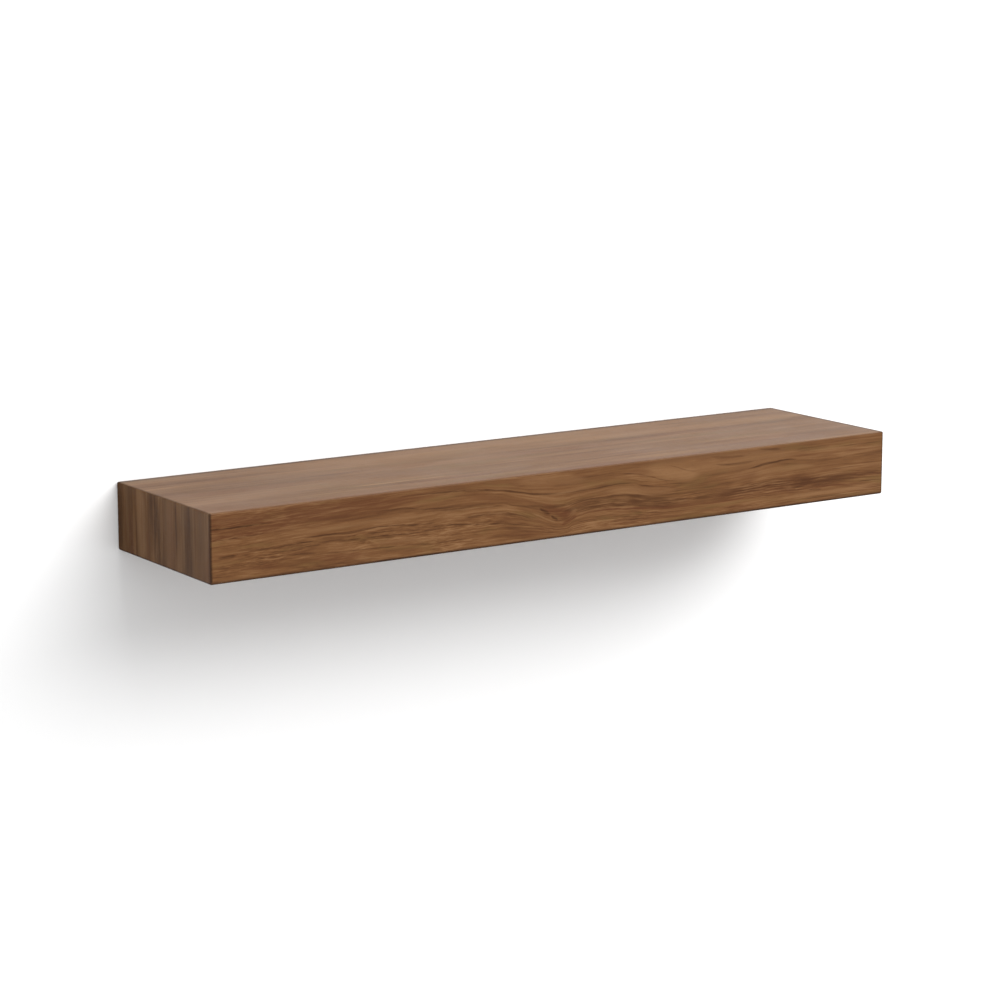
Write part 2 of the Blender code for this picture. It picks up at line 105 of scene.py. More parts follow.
@dataclass
class Wiring:
    """Adds nodes to one node tree and links them.

    Args:
        tree: The material's or group's tree.
    """

    tree: bpy.types.NodeTree

    def add(self, kind: str, **settings: object) -> bpy.types.Node:
        """A new node with these settings.

        Args:
            kind: The node's type name.
            settings: The node's own properties.

        Returns:
            The node.
        """
        node = self.tree.nodes.new(kind)
        for name, value in settings.items():
            setattr(node, name, value)
        return node

    def feed(self, socket: Socket, value: Feed) -> None:
        """Links a socket, or sets its constant value.

        Args:
            socket: The input that takes the value.
            value: An output socket, or a constant.
        """
        if isinstance(value, Socket):
            self.tree.links.new(value, socket)
        elif isinstance(value, tuple) and len(value) < len(socket.default_value):
            socket.default_value = (*value, 1.0)
        else:
            socket.default_value = value

    def feed_all(self, node: bpy.types.Node, **values: Feed) -> bpy.types.Node:
        """Feeds a node's inputs by name.

        Args:
            node: The node.
            values: Its inputs, with _ for each space in a name.

        Returns:
            The node.
        """
        for name, value in values.items():
            self.feed(node.inputs[name.replace("_", " ")], value)
        return node

    def calc(self, operation: str, *values: Feed, clamp: bool = False) -> Socket:
        """One step of arithmetic.

        Args:
            operation: The Math node's operation.
            values: Its inputs in order.
            clamp: Whether the result stays within 0 and 1.

        Returns:
            The result.
        """
        node = self.add("ShaderNodeMath", operation=operation, use_clamp=clamp)
        for socket, value in zip(node.inputs, values):
            self.feed(socket, value)
        return node.outputs[0]

    def sway(self, value: Feed, share: Feed, base: Feed, clamp: bool = False) -> Socket:
        """A share of a value's swing about 0.5, added to a base."""
        return self.calc("MULTIPLY_ADD", self.calc("SUBTRACT", value, 0.5), share, base, clamp=clamp)

    def fit(self, value: Feed, low: Feed, high: Feed, to_low: Feed = 0.0, to_high: Feed = 1.0,
            smooth: bool = True, clamp: bool = True) -> Socket:
        """A value moved from one range to another.

        Args:
            value: What is moved.
            low: The start of its range.
            high: The end of its range.
            to_low: What the start becomes.
            to_high: What the end becomes.
            smooth: Whether it eases in and out.
            clamp: Whether it stays between the new ends.

        Returns:
            The moved value.
        """
        node = self.add("ShaderNodeMapRange", clamp=False)
        node.interpolation_type = "SMOOTHSTEP" if smooth else "LINEAR"
        self.feed_all(node, Value=value, From_Min=low, From_Max=high, To_Min=to_low, To_Max=to_high)
        result = node.outputs["Result"]
        if smooth or not clamp:
            return result
        least, most = sorted((to_low, to_high))
        return self.calc("MAXIMUM", self.calc("MINIMUM", result, most), least)

    def vector(self, x: Feed, y: Feed, z: Feed) -> Socket:
        """A vector from three values."""
        return self.feed_all(self.add("ShaderNodeCombineXYZ"), X=x, Y=y, Z=z).outputs["Vector"]

    def split(self, vector: Feed) -> Sockets:
        """The X, Y and Z of a vector."""
        outputs = self.feed_all(self.add("ShaderNodeSeparateXYZ"), Vector=vector).outputs
        return {axis: outputs[axis] for axis in AXES}

    def noise(self, vector: Feed, detail: float = 2.0, roughness: float = 0.5,
              distortion: float = 0.0) -> Socket:
        """Noise between 0 and 1 at this vector, in clouds that are about one unit of the vector wide."""
        return self.feed_all(self.add("ShaderNodeTexNoise"), Vector=vector, Scale=1.0, Detail=detail,
                             Roughness=roughness, Distortion=distortion).outputs["Fac"]

    def clouds(self, values: Sequence[Feed], sizes: Sequence[Feed], *settings: float) -> Socket:
        """Noise at three values, in clouds of these sizes. A third value without a size is a seed."""
        scaled = [self.calc("DIVIDE", value, size) for value, size in zip(values, sizes)]
        return self.noise(self.vector(*scaled, *values[len(scaled):]), *settings)

    def mix(self, share: Feed, first: Feed, second: Feed) -> Socket:
        """Two colours mixed.

        Args:
            share: How much of the second colour there is.
            first: The first colour.
            second: The second colour.

        Returns:
            The mixed colour.
        """
        node = self.add("ShaderNodeMix", data_type="RGBA")
        sockets = {socket.identifier: socket for socket in (*node.inputs, *node.outputs)}
        for name, value in (("Factor_Float", share), ("A_Color", first), ("B_Color", second)):
            self.feed(sockets[name], value)
        return sockets["Result_Color"]

    def ramp(self, value: Feed, *stops: tuple[float, Colour]) -> Socket:
        """A colour read from a ramp.

        Args:
            value: The place on the ramp.
            stops: The ramp's places and colours, in order.

        Returns:
            The colour.
        """
        node = self.add("ShaderNodeValToRGB")
        elements = node.color_ramp.elements
        while len(elements) < len(stops):
            elements.new(0.5)
        for element, (place, colour) in zip(elements, stops):
            element.position = place
            element.color = (*colour, 1.0)
        return self.feed_all(node, Fac=value).outputs["Color"]

    def curve(self, value: Feed, points: Sequence[Share]) -> Socket:
        """A height read from a smooth curve through points between 0 and 1.

        Args:
            value: The place along the curve.
            points: Places and heights, in order.

        Returns:
            The height.
        """
        node = self.add("ShaderNodeFloatCurve")
        line = node.mapping.curves[0]
        while len(line.points) < len(points):
            line.points.new(0.5, 0.5)
        for point, place in zip(line.points, points):
            point.location = place
        node.mapping.update()
        return self.feed_all(node, Value=value).outputs["Value"]

    def place(self) -> Sockets:
        """The point on the piece in the shelf's own frame: its X, Y and Z, and all of it under "Vector"."""
        where = self.add("ShaderNodeTexCoord").outputs["Object"]
        return {"Vector": where, **self.split(where)}

    def effect(self, effect: "Effect", **values: Feed) -> Sockets:
        """The outputs by name of a shared effect, with its own values fed by name."""
        node = self.feed_all(self.add("ShaderNodeGroup", node_tree=effect.tree()), **values)
        return {socket.name: socket for socket in node.outputs}

    def bump(self, height: Feed, depth: float) -> Socket:
        """The surface's normal tilted by a height between 0 and 1, whose full height stands this far out."""
        return self.feed_all(self.add("ShaderNodeBump"), Distance=depth, Height=height).outputs["Normal"]


@dataclass(frozen=True)
class Effect:
    """A node group that more than one finish uses.

    Args:
        name: The group's name.
        inputs: Its inputs.
        outputs: Its outputs.
        wire: Fills the group: given the wiring and the inputs, it returns the outputs by name.
        vectors: The inputs that are vectors, where the others are values.
    """

    name: str
    inputs: tuple[str, ...]
    outputs: tuple[str, ...]
    wire: Callable[[Wiring, Sockets], Sockets]
    vectors: tuple[str, ...] = ()

    def tree(self) -> bpy.types.NodeTree:
        """The group, built the first time it is asked for.

        Returns:
            The node group.
        """
        made = bpy.data.node_groups.get(self.name)
        if made is None:
            made = bpy.data.node_groups.new(self.name, "ShaderNodeTree")
            for way, names in (("INPUT", self.inputs), ("OUTPUT", self.outputs)):
                for name in names:
                    made.interface.new_socket(name=name, in_out=way, socket_type=(
                        "NodeSocketVector" if name in self.vectors else "NodeSocketFloat"))
            wires = Wiring(made)
            entry = wires.add("NodeGroupInput")
            results = self.wire(wires, {socket.name: socket for socket in entry.outputs if socket.name})
            end = wires.add("NodeGroupOutput")
            for name, result in results.items():
                wires.feed(end.inputs[name], result)
        return made


def wire_wood_grain(wires: Wiring, given: Sockets) -> Sockets:
    """Fills the grain effect: patches, streaks, short dashes, fibres and open pores that all run one way.

    Args:
        wires: The group's wiring.
        given: Along, Eased, Across and Seed.

    Returns:
        Patches, Streaks, Dashes, Fibres and Pores.
    """
    def stretched(length: float, width: float, detail: float, stir: float, run: str = "Eased") -> Socket:
        """Noise in clouds of this length and width."""
        return wires.clouds((given[run], given["Across"], given["Seed"]), (length, width), detail, 0.55,
                            stir)

    dashes = stretched(0.019, 0.00125, 3.0, 0.12)
    lively = wires.fit(stretched(0.120, 0.022, 1.0, 0.0, "Along"), 0.38, 0.62, 0.35, 1.5)
    pores = stretched(0.006, 0.00026, 1.0, 0.0)
    return {
        "Patches": stretched(0.110, 0.010, 2.0, 0.4, "Along"),
        "Streaks": stretched(0.066, 0.0024, 3.0, 0.2),
        "Dashes": wires.sway(dashes, lively, 0.5),
        "Fibres": stretched(0.012, 0.00045, 2.0, 0.0),
        "Pores": wires.fit(pores, 0.66, 0.74),
    }


def wire_grain_line(wires: Wiring, given: Sockets) -> Sockets:
    """Fills the line effect: how much of the wood is left bare by one drawn line of the figure.

    Args:
        wires: The group's wiring.
        given: Across, Along, Height, Low, Span, Width, Softness, Strength and Break.

    Returns:
        Keep, which is 1 away from the line.
    """
    centre = wires.calc("MULTIPLY_ADD", given["Height"], given["Span"], given["Low"])
    away = wires.calc("ABSOLUTE", wires.calc("SUBTRACT", given["Across"], centre))
    edge = wires.calc("DIVIDE", away, given["Width"])
    taper = wires.calc("MULTIPLY", wires.fit(given["Along"], 0.0, 0.3), wires.fit(given["Along"], 1.0, 0.7))
    body = wires.fit(wires.calc("SUBTRACT", taper, edge), 0.0, given["Softness"])
    broken = wires.calc("MULTIPLY", body, given["Break"])
    mask = wires.calc("MINIMUM", wires.calc("MULTIPLY", broken, given["Strength"]), 1.0)
    return {"Keep": wires.calc("SUBTRACT", 1.0, mask)}


def wire_laminate(wires: Wiring, given: Sockets) -> Sockets:
    """Fills the laminate effect: a face veneer over crossed plies.

    Args:
        wires: The group's wiring.
        given: Depth, Face and Ply.

    Returns:
        Face, which is 1 on the face veneer, Crossed, which is 1 on every other ply, and Seam.
    """
    below = wires.calc("SUBTRACT", given["Depth"], given["Face"])
    plies = wires.calc("DIVIDE", below, given["Ply"])
    within = wires.calc("FRACT", plies)
    turn = wires.calc("FRACT", wires.calc("MULTIPLY", plies, 0.5))
    seam = wires.calc("MAXIMUM", wires.fit(within, 0.07, 0.0), wires.fit(within, 0.93, 1.0))
    inner = wires.calc("MULTIPLY", given["Face"], 0.92)
    return {"Face": wires.fit(given["Depth"], given["Face"], inner),
            "Crossed": wires.calc("GREATER_THAN", turn, 0.5), "Seam": seam}


def wire_arris(wires: Wiring, given: Sockets) -> Sockets:
    """Fills the arris effect: where two faces of a box meet, broken up like a rubbed finish; on the walnut
    it also places a painted highlight.

    Args:
        wires: The group's wiring.
        given: Point, Centre, Half and Reach.

    Returns:
        Wear, a mask that is broken up along the edge.
    """
    def step(operation: str, *values: Feed) -> Socket:
        """One step of arithmetic on vectors.

        Args:
            operation: The VectorMath node's operation.
            values: Its inputs in order.

        Returns:
            The result.
        """
        node = wires.add("ShaderNodeVectorMath", operation=operation)
        for socket, value in zip(node.inputs, values):
            wires.feed(socket, value)
        return node.outputs["Vector"]

    size = step("ABSOLUTE", step("SUBTRACT", given["Point"], given["Centre"]))
    inset = wires.split(step("SUBTRACT", given["Half"], size))
    x, y, z = (wires.fit(inset[axis], given["Reach"], 0.0) for axis in AXES)
    pairs = [wires.calc("MULTIPLY", *pair) for pair in ((x, y), (y, z), (z, x))]
    most = wires.calc("MAXIMUM", wires.calc("MAXIMUM", pairs[0], pairs[1]), pairs[2])
    scaled = wires.feed_all(wires.add("ShaderNodeVectorMath", operation="SCALE"), Vector=given["Point"],
                            Scale=RUBS_IN_A_METRE)
    rubbed = wires.fit(wires.noise(scaled.outputs["Vector"], 3.0), 0.35, 0.65)
    return {"Wear": wires.calc("MULTIPLY", most, rubbed)}


def wire_tool_marks(wires: Wiring, given: Sockets) -> Sockets:
    """Fills the tool-mark effect: fine lines along one way and a cloudy unevenness.

    Args:
        wires: The group's wiring.
        given: Along, Across, Other and Size.

    Returns:
        Lines and Cloud, each between 0 and 1.
    """
    size = given["Size"]
    places = [given[name] for name in ("Along", "Across", "Other")]
    lines = wires.clouds(places, (wires.calc("MULTIPLY", size, 60.0), size, size), 3.0, 0.6)
    cloud = wires.clouds(places, [wires.calc("MULTIPLY", size, 40.0)] * 3, 3.0)
    return {"Lines": lines, "Cloud": cloud}


WOOD_GRAIN = Effect("wood_grain", ("Along", "Eased", "Across", "Seed"),
                    ("Patches", "Streaks", "Dashes", "Fibres", "Pores"), wire_wood_grain)
GRAIN_LINE = Effect("grain_line", ("Across", "Along", "Height", "Low", "Span", "Width", "Softness",
                                   "Strength", "Break"), ("Keep",), wire_grain_line)
LAMINATE = Effect("laminate", ("Depth", "Face", "Ply"), ("Face", "Crossed", "Seam"), wire_laminate)
ARRIS = Effect("arris", ("Point", "Centre", "Half", "Reach"), ("Wear",), wire_arris,
               vectors=("Point", "Centre", "Half"))
TOOL_MARKS = Effect("tool_marks", ("Along", "Across", "Other", "Size"), ("Lines", "Cloud"), wire_tool_marks)


def start_material(name: str) -> tuple[Material, Wiring, bpy.types.Node]:
    """A new material with its Principled shader.

    Args:
        name: The material's name.

    Returns:
        The material, its wiring and its shader.
    """
    material = bpy.data.materials.new(name)
    material.use_nodes = True
    wires = Wiring(material.node_tree)
    return material, wires, material.node_tree.nodes["Principled BSDF"]


def dress(piece: Piece, material: Material) -> None:
    """Gives a piece one material all over.

    Args:
        piece: A mesh object.
        material: Its new material.
    """
    if piece.material_slots:
        for slot in piece.material_slots:
            slot.material = material
    else:
        piece.data.materials.append(material)


@dataclass(frozen=True)
class GrainLine:
    """One drawn line, band or patch of a panel's figure.

    Args:
        tone: What it does to the wood.
        width: Half its width, as a share of half the panel's width across the grain.
        strength: How strongly it shows at its middle.
        shares: Its path: shares of half the panel's length along the grain and half its width across it.
        softness: The share of its half width over which it fades.
    """

    tone: Tone
    width: float
    strength: float
    shares: tuple[Share, ...]
    softness: float


def curve_through(wires: Wiring, along: Feed, shares: Sequence[Share]) -> tuple[Feed, Feed, float, float]:
    """A path's height at a place along it.

    Args:
        wires: The material's wiring.
        along: The place along the grain, as a share.
        shares: The path's places and heights.

    Returns:
        The share of the path's run, the curve's reading there, and its lowest height and span.
    """
    start, end = shares[0][0], shares[-1][0]
    heights = [height for _, height in shares]
    low = min(heights)
    span = max(max(heights) - low, 0.001)
    points = [((place - start) / (end - start), (height - low) / span) for place, height in shares]
    run = wires.fit(along, start, end, smooth=False, clamp=False)
    return run, wires.curve(run, points), low, span


@dataclass(frozen=True)
class Walnut:
    """Satin-lacquered walnut veneer over plywood, for one panel of the box.

    Args:
        name: The material's name.
        face: The side of the box that shows the veneer.
        grain: The way the figure runs.
        outside: Where the veneered face lies on its axis of depth.
        centre: The middle of the figure along and across the grain.
        half: Half the panel's size along and across the grain.
        lines: The drawn lines of the figure.
        flow: The heights that two lines of the figure follow, and the heights they would have if straight.
        seed: What sets this panel's figure apart.
        contrast: How strongly its grain shows.
        choppy: How much its grain is broken into short dashes, at the two edges that the grain follows.
        scale: How much longer and wider the grain is than on the front.
        easing: How much shorter its streaks are at the low end of the grain, and longer at the high end.
        shaded: The sides of the box towards which shade is painted on it in a dark colour, how far in and
            how strongly.
        lacquer: The share of the lacquer's gloss at the low and the high end of its axis; a difference
            between them paints sheen and shade.
        lacquer_axis: The axis along which the gloss changes, as painted sheen and shade.
        deep: The colour of its darkest grain.
        shade: The colour of its dark grain.
        body: The colour of most of it.
        light: The colour of its lightest grain.
        red: The colour of its red patches.
        olive: The colour of its green patches.
        stain_and_shade: The colour of the stain on the core's edges, and of the shade painted along the
            arrises.
        veneer: How thick the veneer is.
        stained: How deep the dark staining reaches into the core.
        arris: How far on either side of an arris the lacquer is rubbed and a highlight is painted.
        ply: How thick a ply of the core is.
        roughness: The lacquer's roughness.
        pore_depth: How deep the pores are.
        ripples: The length, width and height of each size of ripple in the figure.
        hue_size: How long and how wide its red and green patches are.
        dashes: How strongly its short dashes show.
        smudge: How large a smudge on the lacquer is each way.
        mark: How wide a saw mark on the core is.
        box_centre: The middle of the shelf box.
        box_half: Half the box's size each way.
    """

    name: str
    face: Face
    grain: Grain
    outside: float
    centre: Share
    half: Share
    lines: tuple[GrainLine, ...] = ()
    flow: tuple[tuple[tuple[Share, ...], float], ...] = ()
    seed: float = 0.0
    contrast: float = 1.0
    choppy: Share = (0.7, 0.7)
    scale: Share = (1.0, 1.0)
    easing: float = 0.0
    shaded: tuple[tuple[Face, float, float], ...] = ()
    lacquer: Share = (0.16, 0.16)
    lacquer_axis: str = "Y"
    deep: Colour = (0.050, 0.0167, 0.0036)
    shade: Colour = (0.095, 0.0375, 0.0120)
    body: Colour = (0.142, 0.0610, 0.0208)
    light: Colour = (0.216, 0.1080, 0.0455)
    red: Colour = (0.094, 0.0315, 0.0100)
    olive: Colour = (0.136, 0.0730, 0.0225)
    stain_and_shade: Colour = (0.036, 0.015, 0.006)
    veneer: float = 0.0008
    stained: float = 0.0028
    arris: float = 0.002
    ply: float = 0.0016
    roughness: float = 0.44
    pore_depth: float = 0.00004
    ripples: tuple[Place, ...] = ((0.040, 0.016, 0.0017), (0.010, 0.004, 0.0005))
    hue_size: Share = (0.07, 0.012)
    dashes: float = 0.48
    smudge: Place = (0.09, 0.05, 0.05)
    mark: float = 0.0004
    box_centre: Place = (0.0, 0.0, 0.0)
    box_half: Place = (0.0, 0.0, 0.0)

    def straightened(self, wires: Wiring, along: Feed, across: Feed) -> Feed:
        """Where across the grain the wood would be if its flow lines were straight.

        Args:
            wires: The material's wiring.
            along: The share along the grain.
            across: The share across the grain.

        Returns:
            The straightened share across the grain.
        """
        if not self.flow:
            return across
        edge, rest_edge = -1.0, -1.0
        total = None
        for shares, rest in (*self.flow, (None, 1.0)):
            height = 1.0
            if shares:
                _, reading, low, span = curve_through(wires, along, shares)
                height = wires.calc("MULTIPLY_ADD", reading, span, low)
            part = wires.fit(across, edge, height, 0.0, rest - rest_edge, smooth=False)
            total = part if total is None else wires.calc("ADD", total, part)
            edge, rest_edge = height, rest
        return wires.calc("SUBTRACT", total, 1.0)

    def drawn(self, wires: Wiring, along: Feed, across: Feed, broken: Feed) -> dict[Tone, Feed]:
        """The drawn lines of the figure.

        Args:
            wires: The material's wiring.
            along: The share along the grain.
            across: The share across the grain.
            broken: How much of a line shows, from place to place.

        Returns:
            A mask for each tone.
        """
        keep = {tone: 1.0 for tone in Tone}
        for line in self.lines:
            run, height, low, span = curve_through(wires, along, line.shares)
            left = wires.effect(GRAIN_LINE, Across=across, Along=run, Height=height, Low=low, Span=span,
                                Width=line.width, Softness=line.softness, Strength=line.strength,
                                Break=broken)["Keep"]
            keep[line.tone] = wires.calc("MULTIPLY", keep[line.tone], left)
        return {tone: wires.calc("SUBTRACT", 1.0, kept) for tone, kept in keep.items()}

    def figured(self, wires: Wiring, grain: Sockets, across: Feed) -> Socket:
        """The veneer's colour before any drawn line.

        Args:
            wires: The material's wiring.
            grain: What the grain effect gives.
            across: The share across the grain.

        Returns:
            The colour.
        """
        chopped = wires.fit(across, -0.6, 0.2, *(self.dashes * share for share in self.choppy))
        tone = wires.calc("MULTIPLY", wires.calc("SUBTRACT", grain["Patches"], 0.5), 0.50)
        for layer, share in (("Streaks", 0.50), ("Dashes", chopped), ("Fibres", 0.05)):
            tone = wires.sway(grain[layer], share, tone)
        tone = wires.calc("MULTIPLY_ADD", tone, self.contrast, 0.5)
        return wires.ramp(tone, (0.17, self.deep), (0.35, self.shade), (0.51, self.body), (0.71, self.light))

    def painted_shade(self, wires: Wiring, point: Sockets) -> Feed:
        """How strongly shade is painted on towards the chosen sides of the box.

        Args:
            wires: The material's wiring.
            point: The point on the piece.

        Returns:
            The painted shade's share.
        """
        painted_shade = 0.0
        for face, reach, strength in self.shaded:
            axis, way = face.value
            place = AXES.index(axis)
            inset = wires.calc("MULTIPLY_ADD", point[axis], -way,
                               self.box_half[place] + way * self.box_centre[place])
            painted_shade = wires.calc("MAXIMUM", painted_shade, wires.fit(inset, reach, reach * 0.4, 0.0, strength))
        return painted_shade

    def core(self, wires: Wiring, point: Sockets, depth: Feed, layers: Sockets) -> Socket:
        """The colour of the crossed plies behind the veneer.

        Args:
            wires: The material's wiring.
            point: The point on the piece.
            depth: How far it lies under the panel's face.
            layers: What the laminate effect gives.

        Returns:
            The colour.
        """
        along, across = (point[axis] for axis in self.grain.value)
        marks = wires.effect(TOOL_MARKS, Along=along, Across=across, Other=depth, Size=self.mark)
        long_ply = wires.ramp(marks["Lines"], (0.3, (0.42, 0.27, 0.15)), (0.7, (0.58, 0.42, 0.26)))
        end_ply = wires.ramp(marks["Cloud"], (0.3, (0.30, 0.18, 0.09)), (0.7, (0.40, 0.25, 0.13)))
        core = wires.mix(layers["Crossed"], long_ply, end_ply)
        core = wires.mix(wires.calc("MULTIPLY", layers["Seam"], 0.7), core, (0.10, 0.05, 0.025))
        return wires.mix(wires.fit(depth, self.stained, self.veneer), core, self.stain_and_shade)

    def material(self) -> Material:
        """The finish as a material.

        Returns:
            The material.
        """
        material, wires, shader = start_material(self.name)
        point = wires.place()
        along_axis, across_axis = self.grain.value
        along = wires.calc("DIVIDE", wires.calc("SUBTRACT", point[along_axis], self.centre[0]), self.half[0])
        plain = wires.calc("DIVIDE", wires.calc("SUBTRACT", point[across_axis], self.centre[1]),
                           self.half[1])
        across = plain
        for length, width, height in self.ripples:
            ripple = wires.clouds((point[along_axis], point[across_axis], self.seed), (length, width), 2.0)
            across = wires.sway(ripple, height / self.half[1], across)
        straight = wires.calc("MULTIPLY", self.straightened(wires, along, across), self.half[1])
        run = wires.calc("DIVIDE", point[along_axis], self.scale[0])
        eased = wires.calc("MULTIPLY", run, wires.calc("MULTIPLY_ADD", along, -self.easing, 1.0))
        grain = wires.effect(WOOD_GRAIN, Along=run, Eased=eased,
                             Across=wires.calc("DIVIDE", straight, self.scale[1]), Seed=self.seed)

        broken = wires.fit(wires.calc("ADD", grain["Streaks"], grain["Dashes"]), 1.20, 0.80, 0.45, 1.40)
        masks = self.drawn(wires, along, across, broken)
        colour = self.figured(wires, grain, plain)
        patch = [size * scale for size, scale in zip(self.hue_size, self.scale)]
        hue = wires.clouds((point[along_axis], straight, self.seed + 5.0), patch, 2.0)
        colour = wires.mix(wires.fit(hue, 0.52, 0.72, 0.0, 0.5), colour, self.olive)
        colour = wires.mix(wires.fit(hue, 0.48, 0.28, 0.0, 0.45), colour, self.red)
        for tone, toned in ((Tone.PALE, self.light), (Tone.RED, self.red), (Tone.DARK, self.deep)):
            colour = wires.mix(masks[tone], colour, toned)
        colour = wires.mix(wires.calc("MULTIPLY", grain["Pores"], 0.5), colour, self.deep)
        arris_mask = wires.effect(ARRIS, Point=point["Vector"], Centre=self.box_centre, Half=self.box_half,
                            Reach=self.arris)["Wear"]
        # Painted highlight, partly rubbed lacquer: the arrises are lightened towards the light grain colour.
        colour = wires.mix(wires.calc("MULTIPLY", arris_mask, 0.1), colour, self.light)
        # Painted shade along the arrises and towards the chosen sides of the box, mixed over the veneer in
        # the stain's dark colour.
        painted_shade = self.painted_shade(wires, point)
        uneven = wires.fit(grain["Streaks"], 0.3, 0.6, 0.95, 0.65)
        colour = wires.mix(wires.calc("MULTIPLY", painted_shade, uneven), colour, self.stain_and_shade)

        axis, way = self.face.value
        depth = (wires.calc("SUBTRACT", self.outside, point[axis]) if way > 0
                 else wires.calc("SUBTRACT", point[axis], self.outside))
        layers = wires.effect(LAMINATE, Depth=depth, Face=self.veneer, Ply=self.ply)
        core = self.core(wires, point, depth, layers)
        wires.feed_all(shader, Base_Color=wires.mix(layers["Face"], core, colour))

        smudge = wires.clouds([point[axis] for axis in AXES], self.smudge, 3.0)
        gloss = wires.fit(smudge, 0.3, 0.7, self.roughness - 0.04, self.roughness + 0.05)
        gloss = wires.calc("MULTIPLY_ADD", grain["Pores"], 0.12, gloss)
        gloss = wires.calc("MULTIPLY_ADD", arris_mask, -0.08, gloss)
        bare = wires.calc("SUBTRACT", 1.0, layers["Face"])
        wires.feed_all(shader, Roughness=wires.calc("MULTIPLY_ADD", bare, 0.4, gloss, clamp=True))
        relief = wires.calc("MULTIPLY_ADD", grain["Fibres"], 0.25,
                            wires.calc("MULTIPLY", grain["Pores"], -1.0))
        relief = wires.calc("MULTIPLY_ADD", layers["Seam"], wires.calc("MULTIPLY", bare, -2.0), relief)
        # Painted sheen and shade: the gloss changes along one axis, weaker where the face sees shade, as on
        # the ends towards the wall, and stronger towards the light, as on the top to the right.
        place = AXES.index(self.lacquer_axis)
        middle, half = self.box_centre[place], self.box_half[place]
        wires.feed_all(shader, Normal=wires.bump(relief, self.pore_depth), Specular_IOR_Level=wires.fit(
            point[self.lacquer_axis], middle - half, middle + half, *self.lacquer, smooth=False))
        return material


@dataclass(frozen=True)
class Softwood:
    """Planed, unfinished softwood whose growth rings lie round a pith outside the piece.

    Args:
        name: The material's name.
        length_axis: The axis that the tree grew along.
        pith: Where the pith lies on the two other axes, in alphabetical order.
        early: The colour of spring wood.
        late: The colour of summer wood.
        ring: How wide a year's growth is.
        roughness: Its middle roughness.
        sway: How far the rings sway.
        sway_size: How long a sway of the rings is along the tree, and across it.
        mark: How wide a planing mark is.
        relief: How deep the marks and the spring wood lie.
    """

    name: str
    length_axis: str
    pith: Share
    early: Colour = (0.64, 0.47, 0.28)
    late: Colour = (0.40, 0.225, 0.10)
    ring: float = 0.0032
    roughness: float = 0.62
    sway: float = 0.012
    sway_size: Place = (0.25, 0.03, 0.03)
    mark: float = 0.0005
    relief: float = 0.00006

    def material(self) -> Material:
        """The finish as a material.

        Returns:
            The material.
        """
        material, wires, shader = start_material(self.name)
        point = wires.place()
        along = point[self.length_axis]
        first, second = (point[axis] for axis in AXES if axis != self.length_axis)
        sway = wires.clouds((along, first, second), self.sway_size, 2.0)
        offsets = [wires.calc("POWER", wires.calc("SUBTRACT", value, middle), 2.0)
                   for value, middle in zip((first, second), self.pith)]
        radius = wires.calc("SQRT", wires.calc("ADD", *offsets))
        years = wires.calc("DIVIDE", wires.calc("MULTIPLY_ADD", sway, self.sway, radius), self.ring)
        year = wires.calc("FRACT", years)
        late = wires.calc("MULTIPLY", wires.fit(year, 0.35, 0.93), wires.fit(year, 1.0, 0.95))
        marks = wires.effect(TOOL_MARKS, Along=along, Across=first, Other=second, Size=self.mark)
        tone = wires.sway(marks["Lines"], 0.5, late, clamp=True)
        colour = wires.ramp(tone, (0.0, self.early), (1.0, self.late))
        colour = wires.mix(wires.fit(marks["Cloud"], 0.45, 0.75, 0.0, 0.35), colour, self.late)
        wires.feed_all(
            shader, Base_Color=colour, Specular_IOR_Level=0.25,
            Roughness=wires.fit(marks["Cloud"], 0.3, 0.7, self.roughness - 0.07, self.roughness + 0.08),
            Normal=wires.bump(wires.calc("MULTIPLY_ADD", marks["Lines"], 0.6, late), self.relief))
        return material


@dataclass(frozen=True)
class Metal:
    """Drawn, turned or plated metal with fine tool marks and a handled, uneven gloss.

    Args:
        name: The material's name.
        colour: The metal's colour.
        tint: The colour that its clouds lean to.
        roughness: Its middle roughness.
        mark_axis: The axis that the tool marks follow.
        mark: How wide a tool mark is.
        depth: How deep a tool mark is.
    """

    name: str
    colour: Colour
    tint: Colour
    roughness: float
    mark_axis: str = "Y"
    mark: float = 0.00012
    depth: float = 0.00001

    def material(self) -> Material:
        """The finish as a material.

        Returns:
            The material.
        """
        material, wires, shader = start_material(self.name)
        point = wires.place()
        across, other = (point[axis] for axis in AXES if axis != self.mark_axis)
        marks = wires.effect(TOOL_MARKS, Along=point[self.mark_axis], Across=across, Other=other,
                             Size=self.mark)
        cloud = wires.fit(marks["Cloud"], 0.35, 0.65)
        rough = wires.fit(marks["Lines"], 0.25, 0.75, self.roughness - 0.05, self.roughness + 0.07)
        wires.feed_all(shader, Base_Color=wires.mix(cloud, self.colour, self.tint), Metallic=1.0,
                       Roughness=wires.calc("MULTIPLY_ADD", cloud, 0.06, rough),
                       Normal=wires.bump(marks["Lines"], self.depth))
        return material


